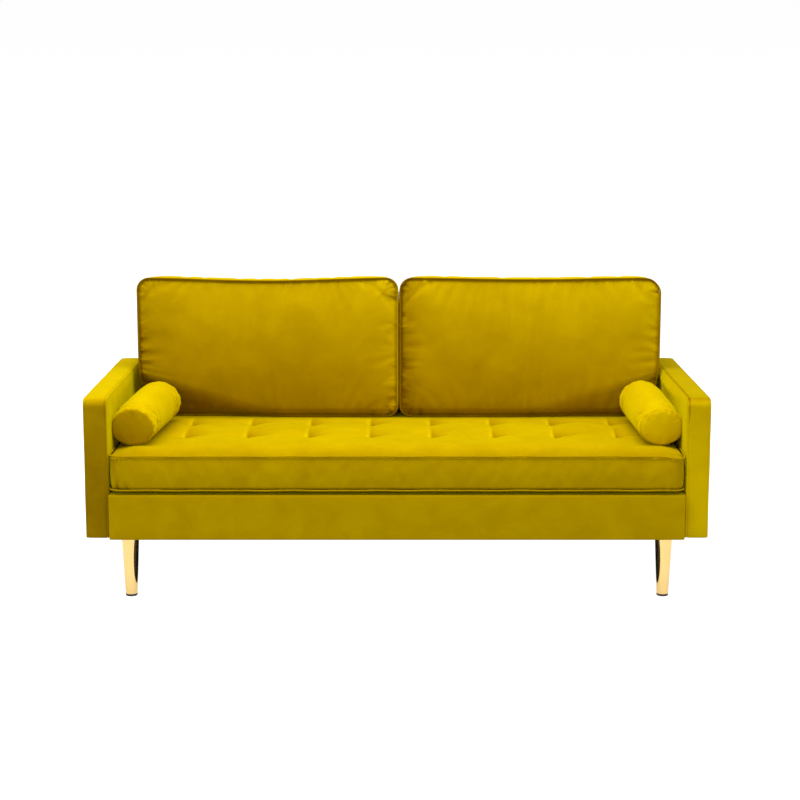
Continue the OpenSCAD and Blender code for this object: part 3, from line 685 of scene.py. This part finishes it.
class SOFA_OT_seat_cushion(bpy.types.Operator):
    """One long boxed seat cushion with tufts and piping"""
    bl_idname = "sofa.seat_cushion"
    bl_label = "Seat cushion"

    def execute(self, context):
        sizes = context.scene.sofa_sizes
        low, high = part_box("seat_cushion_cover")
        pipe_low, pipe_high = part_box("seat_cushion_piping")
        radius = sizes.piping_width / 2
        seam_low, seam_high = pipe_low.z + SEAM_DEPTH, pipe_high.z - SEAM_DEPTH
        start = (low.x + COVER_INSET, low.y + COVER_INSET, seam_low)
        end = (high.x - COVER_INSET, high.y - COVER_INSET, seam_high)
        tufts = tuft_points()

        def tied(rest):
            near = np.full(len(rest), 9.0)
            for x, y in tufts:
                near = np.minimum(near, np.hypot(rest[:, 0] - x, rest[:, 1] - y))
            return (near < 0.010) & (rest[:, 2] > seam_high - 0.004)

        seat = stuffed_block("seat_cushion", start, end, 2, sizes.seat_corner,
                             sizes.cloth_cell + 0.0015, 2.2, 0.004, 0.016, tied)
        rest, points = halve_cells(seat)
        top = ease(rest[:, 2], seam_high - 0.003, seam_high)
        loop, _, along, total = ring((start[0], start[1]), (end[0], end[1]), sizes.seat_corner)
        inside, place = near_ring(rest[:, :2], loop, along)
        # The foam under the top lifts it to a low crown, drawn down at each tuft
        crown = 0.010 * ease(inside, 0.0, 0.14)
        points[:, 2] += top * crown
        shade = np.zeros(len(rest))
        for number, (x, y) in enumerate(tufts):
            # A blind tuft pulls a pocket into the top: steep on its left and front, and easing
            # out to the right and rear
            dx, dy = rest[:, 0] - x, rest[:, 1] - y
            long = 0.030 + 0.006 * math.sin(number * 2.4)
            behind = ease(dy, -0.006, 0.002) * np.exp(-np.maximum(dy, 0) / 0.055)
            beside = ease(dx, -0.0035, 0.0020) * np.exp(-np.maximum(dx, 0) / long)
            pocket = behind * beside
            lip = spread(dx + 0.008, 0.006) * behind
            pulled = sizes.tuft_depth * np.exp(-np.hypot(dx, dy) / 0.030)
            points[:, 2] += top * (0.0026 * lip - 0.015 * pocket - pulled)
            # Painted shade in each pocket, and a painted highlight along its left lip
            shade += 0.24 * lip - 0.60 * pocket
        # Pleats by the upper and lower seams
        zones = [(0.0, 1.0, 70, 0.0009, 0.014), (0.638, 0.662, 14, 0.0050, 0.022),
                 (0.985, 1.012, 9, 0.0028, 0.022)]
        for height, seed in ((seam_high, 11), (seam_low, 12)):
            gap = np.hypot(inside, np.abs(rest[:, 2] - height))
            pleat = gathers(place, gap, total, zones, seed) - 0.0014 * spread(gap, 0.005)
            points += normals_of(seat) * pleat[:, None]
        points[:, 2] += top * 0.0014 * lumps(rest, 0.09, 4)
        points = self.settle(points, start, end)
        # Where it lies on the base and under the back cushions and bolsters it is flat
        held = np.maximum(ease(rest[:, 1], 0.07, 0.12), ease(np.abs(rest[:, 0]), 0.62, 0.68))
        ceiling = 0.4370 - 0.0052 * held
        points[:, 2] = np.clip(points[:, 2], low.z + 0.0002, ceiling)
        points[:, 0] = np.clip(points[:, 0], pipe_low.x + 0.0008, pipe_high.x - 0.0008)
        points[:, 1] = np.clip(points[:, 1], pipe_low.y - 0.0005, pipe_high.y - 0.0005)
        # Painted light and shade: the top painted lighter towards the rear, the front boxing lighter,
        # the top darker along its front edge, plus the tufts' painted shade
        ahead = -rest[:, 1]
        front = ease(ahead, -low.y - 0.004, -low.y)
        shape_cover(seat, points, 0.50 + (0.10 - 0.08 * ease(ahead, 0.10, 0.33)) * top
                    + 0.12 * front + top * shade - 0.20 * top * ease(ahead, 0.30, 0.375))

        core = foam_inside("seat_cushion_foam", seat, 0.011, 0.10)
        loops = []
        cord, outward, _, _ = ring((start[0], start[1]), (end[0], end[1]), sizes.seat_corner, 0.008)
        cord = cord + outward * (radius * 0.45)
        step = np.arange(len(cord))
        for height in (seam_high, seam_low):
            level = height + 0.0006 * np.sin(step * 0.31) * np.sin(step * 0.077)
            loops.append(self.settle(np.column_stack([cord, level]), start, end))
        cords = piping("seat_cushion_cords", loops, sizes.piping_width)
        # Painted shade: the cords are painted a little darker than the plain velvet
        paint_shading(cords, np.full(len(cords.data.vertices), 0.44))
        dress(seat, "seat_cushion", "velvet", "cut_velvet", "seat_cushion_cover", fill=0.85)
        dress(core, "seat_cushion", "foam", "seat_foam", "seat_cushion_core", fill=0.9)
        dress(cords, "seat_cushion", "velvet_piping", "corded_velvet", "seat_cushion_piping")
        self.tie(tufts, start, seam_high)
        return {"FINISHED"}

    @staticmethod
    def settle(points, start, end):
        """The upper right front corner is worn lower than the left one."""
        settled = points.copy()
        near = spread(np.hypot(points[:, 0] - end[0], points[:, 1] - start[1]), 0.045)
        settled[:, 2] -= 0.009 * near * ease(points[:, 2], end[2] - 0.03, end[2])
        return settled

    @staticmethod
    def tie(tufts, start, seam_high):
        """Waxed twine from each tuft down through the foam, with a flattened knot at the bottom."""
        bottom, top = start[2] + 0.001, seam_high - 0.022
        clear_selection()
        bpy.ops.mesh.primitive_cylinder_add(vertices=10, radius=0.0015, depth=top - bottom,
                                            location=(0, 0, (top + bottom) / 2))
        twine = bpy.context.object
        bpy.ops.object.transform_apply(location=True, rotation=True, scale=True)
        cut_rows(twine, 2, [bottom + 0.0008, bottom + 0.0016, bottom + 0.0030])
        shape = points_of(twine)
        wide = 1 + 1.6 * spread(shape[:, 2] - bottom - 0.0012, 0.0010)
        set_points(twine, shape * np.column_stack([wide, wide, np.ones(len(shape))]))
        round_edges(twine, lambda edge, point, way: point.z > top - 0.0001, 0.0005, 2)
        shape = points_of(twine)
        pieces = []
        for x, y in tufts:
            select_only(twine)
            bpy.ops.object.duplicate(linked=False)
            set_points(bpy.context.object, shape + np.array([x, y, 0]))
            pieces.append(bpy.context.object)
        bpy.data.objects.remove(twine)
        select_only(*pieces)
        bpy.ops.object.join()
        ties = bpy.context.object
        ties.name = ties.data.name = "seat_tuft_twine"
        smooth(ties)
        dress(ties, "seat_cushion", "twine", "waxed_twine", "seat_tuft_ties")


class SOFA_OT_back_cushions(bpy.types.Operator):
    """Two boxed back cushions with piping round the front and the rear"""
    bl_idname = "sofa.back_cushions"
    bl_label = "Back cushions"

    def execute(self, context):
        sizes = context.scene.sofa_sizes
        between = (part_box("back_cushion_left_piping")[1].x
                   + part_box("back_cushion_right_piping")[0].x) / 2
        for side, hand in (("left", -1), ("right", 1)):
            node = "back_cushion_" + side
            low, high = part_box(node + "_cover")
            pipe_low, pipe_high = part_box(node + "_piping")
            front_seam, rear_seam = pipe_low.y + SEAM_DEPTH, pipe_high.y - SEAM_DEPTH
            start = (low.x + COVER_INSET, front_seam, low.z + COVER_INSET)
            end = (high.x - COVER_INSET, rear_seam, high.z - COVER_INSET)
            cushion = stuffed_block(node, start, end, 1, sizes.back_corner, sizes.cloth_cell,
                                    3.0, 0.010, 0.022)
            rest, points = halve_cells(cushion)
            corners = (start[0], start[2]), (end[0], end[2])
            loop, _, along, total = ring(*corners, sizes.back_corner)
            inside, place = near_ring(rest[:, [0, 2]], loop, along)
            # Pleats: all round, then by the corners and sides in the ring's order
            zones = [(0.0, 1.0, 70, 0.0012, 0.018), (0.97, 1.02, 12, 0.0036, 0.030),
                     (0.02, 0.13, 22, 0.0030, 0.024), (0.155, 0.215, 14, 0.0034, 0.032),
                     (0.21, 0.33, 14, 0.0020, 0.032), (0.48, 0.53, 10, 0.0028, 0.030),
                     (0.555, 0.68, 26, 0.0036, 0.028), (0.67, 0.71, 8, 0.0040, 0.034)]
            shade = np.zeros(len(rest))
            form = points.copy()
            for level, seed, dip in ((front_seam, 21 + hand, 0.0036), (rear_seam, 31 + hand, -0.0030)):
                gap = np.hypot(inside, np.abs(rest[:, 1] - level))
                panel = np.abs(rest[:, 1] - level) < 0.002
                pleat = gathers(place, gap, total, zones, seed)
                points += normals_of(cushion) * pleat[:, None]
                # Each panel dips beside its cord
                points[:, 1] += dip * panel * spread(inside - 0.0050, 0.0036)
                # Painted highlight on each raised pleat, painted shade in each sunk one, and a painted
                # shadow line on the panel beside its cord
                shade += (np.clip(pleat / 0.004, -1, 1) * 0.16
                          - 0.38 * panel * spread(gap - 0.003, 0.0055))
                # The seam itself stays up against the cord
                held = 0.9 * spread(gap, 0.0062)[:, None]
                points += (rest + normals_of(cushion) * 0.0030 - points) * held
            points[:, 1] += 0.0030 * lumps(rest, 0.16, 7 + hand) * ease(inside, 0.0, 0.10)
            front = ease(-rest[:, 1], -front_seam - 0.004, -front_seam)
            # The bolster's dent goes right through, less and less towards the rear
            dent = self.dents(rest, low, high, hand)
            pressed = np.clip((rear_seam - rest[:, 1]) / (rear_seam - front_seam), 0, 1) * dent
            points[:, 1] += pressed
            points = self.settle(points, low, high, hand)
            form[:, 1] += pressed
            form = self.settle(form, low, high, hand)
            limits = [pipe_low.x + 0.0004, pipe_high.x - 0.0004]
            limits[0 if hand > 0 else 1] = between + hand * 0.0002
            for shape in (points, form):
                shape[:, 0] = np.clip(shape[:, 0], *limits)
                shape[:, 1] = np.clip(shape[:, 1], low.y - 0.003, high.y)
                shape[:, 2] = np.clip(shape[:, 2], low.z + 0.0002, pipe_high.z + 0.013)
            # Painted light and shade of the cover: lighter towards the top and to the right, the right
            # cushion a touch lighter, the front darker along its lower edge and where the bolster
            # presses it, the sides where the two cushions meet darker, and the front lighter by its
            # right edge and darker by its left edge
            up = ease(rest[:, 2], low.z, high.z)
            across = (rest[:, 0] - low.x) / (high.x - low.x)
            half_width = 0.5 * (low.x - high.x)
            inner = ease(hand * (rest[:, 0] - (low.x + high.x) / 2), half_width + 0.012, half_width)
            low_edge = 1 - ease(rest[:, 2], low.z, low.z + 0.06)
            dented = dent / 0.016
            shape_cover(cushion, points, 0.38 + 0.26 * up + 0.14 * (across - 0.5) + 0.03 * hand + shade
                        - front * (0.16 * low_edge + 0.24 * dented) - 0.30 * inner * (1 - front)
                        + front * (0.12 * spread(rest[:, 0] - high.x, 0.05)
                                   - (0.10 if hand < 0 else 0.26) * spread(rest[:, 0] - low.x, 0.045)))

            core = foam_inside(node + "_filling", cushion, 0.013, 0.10, form)
            radius = sizes.piping_width / 2
            cord, outward, _, _ = ring(*corners, sizes.back_corner, 0.007)
            cord = cord + outward * (radius * 0.15)
            loops = []
            for level in (front_seam, rear_seam):
                rope = np.column_stack([cord[:, 0], np.full(len(cord), level), cord[:, 1]])
                if level == front_seam:
                    rope[:, 1] += self.dents(rope, low, high, hand)
                rope = self.settle(rope, low, high, hand)
                rope[:, 2] = np.maximum(rope[:, 2], low.z - 0.002 + radius)
                loops.append(rope)
            cords = piping(node + "_cords", loops, sizes.piping_width)
            # Painted shade: the cords are painted dark, less so up the right side
            thread = points_of(cords)
            right_edge = (ease(thread[:, 0], high.x - 0.02, high.x)
                          * ease(thread[:, 2], low.z + 0.02, low.z + 0.06))
            paint_shading(cords, 0.12 + (0.36 if hand < 0 else 0.16) * right_edge)
            dress(cushion, node, "velvet", "cut_velvet", node + "_cover", fill=0.7)
            dress(core, node, "foam", "seat_foam", node + "_core", fill=0.8)
            dress(cords, node, "velvet_piping", "corded_velvet", node + "_piping")
        return {"FINISHED"}

    @staticmethod
    def settle(points, low, high, hand):
        """How a used cushion settles: the top sags between its corners, the lower corners draw in."""
        settled = points.copy()
        across = (points[:, 0] - low.x) / (high.x - low.x)
        up = ease(points[:, 2], low.z, high.z)
        sag = (0.009 if hand < 0 else 0.005) * np.sin(np.pi * np.clip(across, 0, 1)) ** 2
        settled[:, 2] -= sag * ease(up, 0.5, 1.0)
        behind = ease(points[:, 1], low.y + 0.015, high.y - 0.015)
        settled[:, 2] += (0.011 - 0.019 * behind) * ease(up, 0.5, 1.0)
        outer = low.x if hand < 0 else high.x
        if hand > 0:
            settled[:, 2] -= 0.011 * spread(points[:, 0] - outer, 0.032) * ease(up, 0.75, 1.0)
        draw = 0.016 * spread(points[:, 2] - (low.z + 0.02), 0.09) * spread(points[:, 0] - outer, 0.08)
        settled[:, 0] -= hand * draw
        tuck = ((1 - ease(points[:, 2], low.z, low.z + 0.030))
                * (1 - ease(points[:, 1], low.y + 0.03, high.y)))
        settled[:, 1] += 0.014 * tuck
        return settled

    @staticmethod
    def dents(rest, low, high, hand):
        """How far the front is pressed back where the bolster leans on it, and the folds above."""
        x = (rest[:, 0] - low.x) if hand < 0 else (high.x - rest[:, 0])
        z = rest[:, 2] - low.z
        share = 1.0 if hand < 0 else 0.55
        under = 0.135 - 0.30 * x - z
        dent = 0.022 * ease(under, -0.020, 0.060)
        folds = ((0.118, -0.30, 0.0030, 0.16), (0.150, -0.16, 0.0022, 0.07),
                 (0.172, 0.05, 0.0020, 0.05))
        for begin, slope, depth, reach in folds:
            dent = dent + depth * spread(z - begin - slope * x, 0.007) * np.exp(-x / reach)
        return share * dent


class SOFA_OT_bolsters(bpy.types.Operator):
    """Two stuffed bolsters with round sewn ends"""
    bl_idname = "sofa.bolsters"
    bl_label = "Bolsters"

    def execute(self, context):
        sizes = context.scene.sofa_sizes
        for side, hand, turn, seed in (("left", -1, sizes.bolster_turn_left, 41),
                                       ("right", 1, sizes.bolster_turn_right, 42)):
            node = "bolster_" + side
            low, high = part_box(node + "_cover")
            middle = (np.array(low) + np.array(high)) / 2
            # Stuffed tight, it stands a little fuller than it was cut and is pushed against the arm
            full = 1.05
            half_high = full * (high.z - low.z) / 2
            half_wide = full * sizes.bolster_width / 2
            middle += np.array([hand * 0.0030, 0, low.z + half_high - middle[2]])
            half_long = sizes.bolster_length / 2 - 0.009
            clear_selection()
            bpy.ops.mesh.primitive_cylinder_add(vertices=64, radius=1, depth=2, location=(0, 0, 0),
                                                rotation=(math.pi / 2, 0, 0))
            bolster = context.object
            bolster.name = bolster.data.name = node
            bpy.ops.object.transform_apply(location=True, rotation=True, scale=True)
            bolster.scale = (half_wide, half_long, half_high)
            bpy.ops.object.transform_apply(location=True, rotation=True, scale=True)
            round_edges(bolster, lambda edge, middle, way: abs(way.y) < 0.5, 0.0015, 2)
            cell = 0.0045
            apply_modifier(bolster, "REMESH", mode="VOXEL", voxel_size=cell)
            rest = points_of(bolster)
            keep_rest(bolster, rest)
            seam = self.from_seam(rest, half_wide, half_long, half_high)
            swell(bolster, seam < cell * 0.9, 3.0, 0.012, 0.012)
            rest, points = halve_cells(bolster)
            seam = self.from_seam(rest, half_wide, half_long, half_high)
            angle = np.arctan2(rest[:, 2], rest[:, 0])
            total = 2 * math.pi * half_wide
            around = (angle + math.pi) * half_wide
            zones = [(0.0, 1.0, 44, 0.0009, 0.012)]
            if hand < 0:
                zones += [(0.64, 0.80, 7, 0.0018, 0.022), (0.42, 0.58, 8, 0.0017, 0.018)]
            else:
                zones += [(0.55, 0.95, 20, 0.0014, 0.014)]
            ends = ease(np.abs(rest[:, 1]), half_long - 0.002, half_long)
            for end, number in ((-1, seed), (1, seed + 10)):
                here = rest[:, 1] * end > 0
                pleat = gathers(around, seam, total, zones, number) - 0.0022 * spread(seam, 0.0045)
                points += normals_of(bolster) * (pleat * here * (1 - 0.7 * ends))[:, None]
            points += normals_of(bolster) * (0.0008 * lumps(rest, 0.07, seed))[:, None]
            # Snug against the arm on one side, free to fill out on the other
            outer = points[:, 0] * hand > 0
            points[:, 0] = np.where(outer, soft_limit(points[:, 0], half_wide + 0.0006),
                                    soft_limit(points[:, 0], half_wide + 0.0060))
            belly = 1 - np.clip(np.abs(rest[:, 1]) / half_long, 0, 1) ** 5
            points[:, 2] += 0.010 * belly * ease(rest[:, 2], -0.01, half_high)
            # Its rear end rides up on the seat's crown
            ride = 0.006 if hand < 0 else 0.009
            points[:, 2] += ride * rest[:, 1] / half_long * ease(rest[:, 2], -half_high, 0)
            points[:, 2] = np.maximum(points[:, 2], -half_high)
            points[:, 1] = np.clip(points[:, 1], -sizes.bolster_length / 2, sizes.bolster_length / 2)
            c, s = math.cos(turn), math.sin(turn)
            x = points[:, 0] * c - points[:, 1] * s
            y = points[:, 0] * s + points[:, 1] * c
            placed = np.column_stack([x, y, points[:, 2]]) + middle
            arm_low, arm_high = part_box("arm_" + side + "_cover")
            clear = 0.0012
            placed[:, 0] = (np.maximum(placed[:, 0], arm_high.x + clear) if hand < 0
                            else np.minimum(placed[:, 0], arm_low.x - clear))
            # Painted light and shade: the body painted light, the left bolster's ends darker and the
            # right one's lighter, and a painted shadow along each end seam
            painted_end_shade = 0.31 if hand < 0 else -0.20
            rim = spread(seam, 0.0045)
            shape_cover(bolster, placed, 0.72 - painted_end_shade * ends - 0.18 * rim)
            core = foam_inside(node + "_filling", bolster, 0.011, 0.12)
            dress(bolster, node, "velvet", "cut_velvet", node + "_cover", fill=0.8)
            dress(core, node, "foam", "seat_foam", node + "_core", fill=0.8)
        return {"FINISHED"}

    @staticmethod
    def from_seam(rest, half_wide, half_long, half_high):
        """How far each point lies from the round seam of its end."""
        round_share = np.hypot(rest[:, 0] / half_wide, rest[:, 2] / half_high)
        return np.hypot((1 - round_share) * half_high, half_long - np.abs(rest[:, 1]))


def tight_cover(name, low, high, chosen, width, spacing, puff, seams=()):
    """A padded cover drawn tight over a frame: rounded where chosen, slightly full in each panel."""
    obj = block(name, low, high)
    if chosen is not None:
        round_edges(obj, chosen, width, 8)
    round_edges(obj, lambda edge, middle, way: edge.calc_face_angle(0) > 0.6, 0.0032, 2)
    for axis in range(3):
        count = max(1, round((high[axis] - low[axis]) / spacing))
        cut_rows(obj, axis, [low[axis] + (high[axis] - low[axis]) * i / count
                             for i in range(1, count)])
    for axis, place in seams:
        cut_rows(obj, axis, [place - 0.0024, place, place + 0.0024])
    apply_modifier(obj, "SUBSURF", levels=2, render_levels=2)
    rest = points_of(obj)
    edge = np.empty((len(rest), 3))
    for axis in range(3):
        edge[:, axis] = np.minimum(rest[:, axis] - low[axis], high[axis] - rest[:, axis])
    from_edge = np.sort(edge, axis=1)[:, 1]
    rise = puff * (1 - np.exp(-np.maximum(from_edge - 0.003, 0) / 0.030))
    for axis, place in seams:
        rise -= 0.0014 * spread(rest[:, axis] - place, 0.0016)
    set_points(obj, rest + normals_of(obj) * rise[:, None])
    return obj, rest


class SOFA_OT_arms(bpy.types.Operator):
    """Two padded arms with tight velvet covers"""
    bl_idname = "sofa.arms"
    bl_label = "Arms"

    def execute(self, context):
        for side, hand in (("left", -1), ("right", 1)):
            node = "arm_" + side + "_cover"
            low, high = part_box(node)
            inset = 0.0006
            inner = high.x if hand < 0 else low.x
            outer = low.x if hand < 0 else high.x
            # Seams between the strip that runs over the arm and the two side panels
            strip_edge = 0.0062
            seams = [(0, inner + hand * strip_edge), (0, outer - hand * strip_edge)]
            arm, rest = tight_cover(
                "arm_" + side, (low.x + inset, low.y + inset, low.z),
                (high.x - inset, high.y - inset, high.z - inset),
                lambda edge, middle, way: abs(way.x) > 0.9 and middle.z > 0.5,
                0.024, 0.030, 0.0016, seams)
            points = points_of(arm)
            normals = normals_of(arm)
            # The padding bulges under the top of the inner side, more on the right arm
            bulge = (0.0100 * spread(points[:, 1] + 0.02, 0.16)
                     * spread(points[:, 2] - (high.z - 0.027), 0.013))
            face = ease(-hand * normals[:, 0], 0.3, 0.9)
            points[:, 0] -= hand * bulge * face * (1.0 if hand > 0 else 0.35)
            points += normals * (0.0008 * lumps(points, 0.11, 50 + hand))[:, None]
            points[:, 0] = np.clip(points[:, 0], low.x - (0.0105 if hand > 0 else 0.001),
                                   high.x + (0.004 if hand < 0 else 0.001))
            # Painted light and shade of each panel: the left arm's front darker and its top lighter,
            # the right arm's front lighter and its top darker, each front most so lower down, and a
            # painted shadow along the inner seam near the top
            front = ease(-normals[:, 1], 0.3, 0.9)
            top = ease(normals[:, 2], 0.3, 0.9)
            seam_line = spread(rest[:, 0] - seams[0][1], 0.0026) * ease(rest[:, 2], 0.5, 0.56)
            upper = ease(points[:, 2], 0.40, 0.55)
            if hand < 0:
                painted_shading = 0.50 - (0.24 - 0.12 * upper) * front + 0.13 * top - 0.15 * seam_line
            else:
                painted_shading = 0.52 + (0.40 - 0.16 * upper) * front - 0.20 * top - 0.40 * seam_line
            shape_cover(arm, points, painted_shading)
            dress(arm, "frame", "velvet", "cut_velvet", node, fill=0.95)
        return {"FINISHED"}


class SOFA_OT_base(bpy.types.Operator):
    """The covered base under the seat cushion"""
    bl_idname = "sofa.base"
    bl_label = "Base"

    def execute(self, context):
        low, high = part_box("base_cover")
        inset = 0.0008
        base, _ = tight_cover(
            "base", (low.x + inset, low.y + inset, low.z),
            (high.x - inset, high.y - inset, high.z - inset), None, 0, 0.030, 0.0008)
        points = points_of(base)
        normals = normals_of(base)
        points[:, 1] -= 0.0012 * lumps(points, 0.12, 61) * ease(-normals[:, 1], 0.3, 0.9)
        points[:, 2] = np.clip(points[:, 2], low.z, high.z)
        points[:, 0] = np.clip(points[:, 0], low.x, high.x)
        # Painted light and shade: the sides painted a little light, and the top face, under the seat
        # cushion, painted dark
        shape_cover(base, points, 0.58 - 0.54 * ease(normals[:, 2], 0.7, 0.95))
        dress(base, "frame", "velvet", "cut_velvet", "base_cover", fill=0.95)
        return {"FINISHED"}


class SOFA_OT_back(bpy.types.Operator):
    """The covered back behind the loose cushions"""
    bl_idname = "sofa.back"
    bl_label = "Back"

    def execute(self, context):
        low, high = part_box("back_cover")
        inset = 0.0008
        back, _ = tight_cover(
            "back", (low.x + inset, low.y + inset, low.z + inset),
            (high.x - inset, high.y - inset, high.z - inset), None, 0, 0.030, 0.0008)
        points = points_of(back)
        normals = normals_of(back)
        points[:, 1] += 0.0012 * lumps(points, 0.15, 71) * ease(normals[:, 1], 0.3, 0.9)
        points[:, 1] = np.maximum(points[:, 1], low.y)
        shape_cover(back, points, np.full(len(points), 0.48))
        dress(back, "frame", "velvet", "cut_velvet", "back_cover", fill=0.95)
        return {"FINISHED"}


class SOFA_OT_legs(bpy.types.Operator):
    """Four tapered gold-plated legs"""
    bl_idname = "sofa.legs"
    bl_label = "Legs"

    def execute(self, context):
        first = None
        for end in ("front", "rear"):
            for side in ("left", "right"):
                node = "leg_" + end + "_" + side
                low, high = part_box(node)
                middle = (low + high) / 2
                if first is None:
                    clear_selection()
                    foot_radius = 0.017
                    bpy.ops.mesh.primitive_cone_add(
                        vertices=96, radius1=foot_radius, radius2=(high.x - low.x) / 2,
                        depth=high.z - low.z, location=middle)
                    leg = context.object
                    bpy.ops.object.transform_apply(location=True, rotation=True, scale=True)
                    round_edges(leg, lambda edge, point, way: abs(way.z) < 0.5, 0.0012, 4)
                    first = leg
                    first_middle = middle
                else:
                    select_only(first)
                    bpy.ops.object.duplicate(linked=False)
                    leg = context.object
                    set_points(leg, points_of(first) + np.array(middle - first_middle))
                leg.name = leg.data.name = "gold_" + node
                select_only(leg)
                bpy.ops.object.shade_smooth_by_angle(angle=math.radians(40))
                dress(leg, "frame", "gold_metal", "plated_gold", node)
        return {"FINISHED"}


class SOFA_OT_inner_parts(bpy.types.Operator):
    """Materials of the frame, springs, fixings, padding and glides"""
    bl_idname = "sofa.inner_parts"
    bl_label = "Inner parts"

    def execute(self, context):
        finishes = {
            "sawn_pine_x": "seat_front_rail seat_rear_rail back_top_rail back_bottom_rail "
                           "corner_blocks",
            "sawn_pine_y": "seat_left_rail seat_right_rail seat_center_rail arm_left_top_rail "
                           "arm_right_top_rail arm_left_bottom_rail arm_right_bottom_rail",
            "sawn_pine_z": "arm_left_front_post arm_left_rear_post arm_right_front_post "
                           "arm_right_rear_post back_left_stile back_right_stile back_center_stile",
            "seat_foam": "base_padding arm_left_padding arm_right_padding back_padding",
            "oiled_spring_wire": "seat_springs",
            "zinc_plating": "spring_clips leg_plates leg_plate_screws leg_studs arm_bolts "
                            "back_bolts frame_washers frame_tee_nuts",
            "glide_nylon": "glide_front_left glide_front_right glide_rear_left glide_rear_right",
            "spun_bonded_cloth": "dust_cover",
            "elastic_webbing": "back_webbing",
            "waxed_twine": "seat_tuft_ties",
        }
        for finish, nodes in finishes.items():
            for node in nodes.split():
                for material_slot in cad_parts[node].material_slots:
                    material_slot.material = finish_named(finish)
        return {"FINISHED"}


class SOFA_PT_panel(bpy.types.Panel):
    """Lists the sofa's pieces, sizes and colours"""
    bl_idname = "SOFA_PT_panel"
    bl_label = "Sofa"
    bl_space_type = "VIEW_3D"
    bl_region_type = "UI"
    bl_category = "Sofa"

    def draw(self, context):
        for step in STEPS:
            self.layout.operator(step.bl_idname)
        for group in (context.scene.sofa_sizes, context.scene.sofa_colours):
            for key in group.__annotations__:
                self.layout.prop(group, key)


STEPS = (SOFA_OT_stage, SOFA_OT_seat_cushion, SOFA_OT_back_cushions, SOFA_OT_bolsters, SOFA_OT_arms,
         SOFA_OT_base, SOFA_OT_back, SOFA_OT_legs, SOFA_OT_inner_parts)
CLASSES = (SofaSizes, SofaColours) + STEPS + (SOFA_PT_panel,)


def register():
    for cls in CLASSES:
        bpy.utils.register_class(cls)
    bpy.types.Scene.sofa_sizes = bpy.props.PointerProperty(type=SofaSizes)
    bpy.types.Scene.sofa_colours = bpy.props.PointerProperty(type=SofaColours)


def unregister():
    del bpy.types.Scene.sofa_colours
    del bpy.types.Scene.sofa_sizes
    for cls in reversed(CLASSES):
        bpy.utils.unregister_class(cls)


def main():
    register()
    bpy.ops.sofa.stage()
    bpy.ops.sofa.seat_cushion()
    bpy.ops.sofa.back_cushions()
    bpy.ops.sofa.bolsters()
    bpy.ops.sofa.arms()
    bpy.ops.sofa.base()
    bpy.ops.sofa.back()
    bpy.ops.sofa.legs()
    bpy.ops.sofa.inner_parts()


if __name__ == "__main__":
    main()
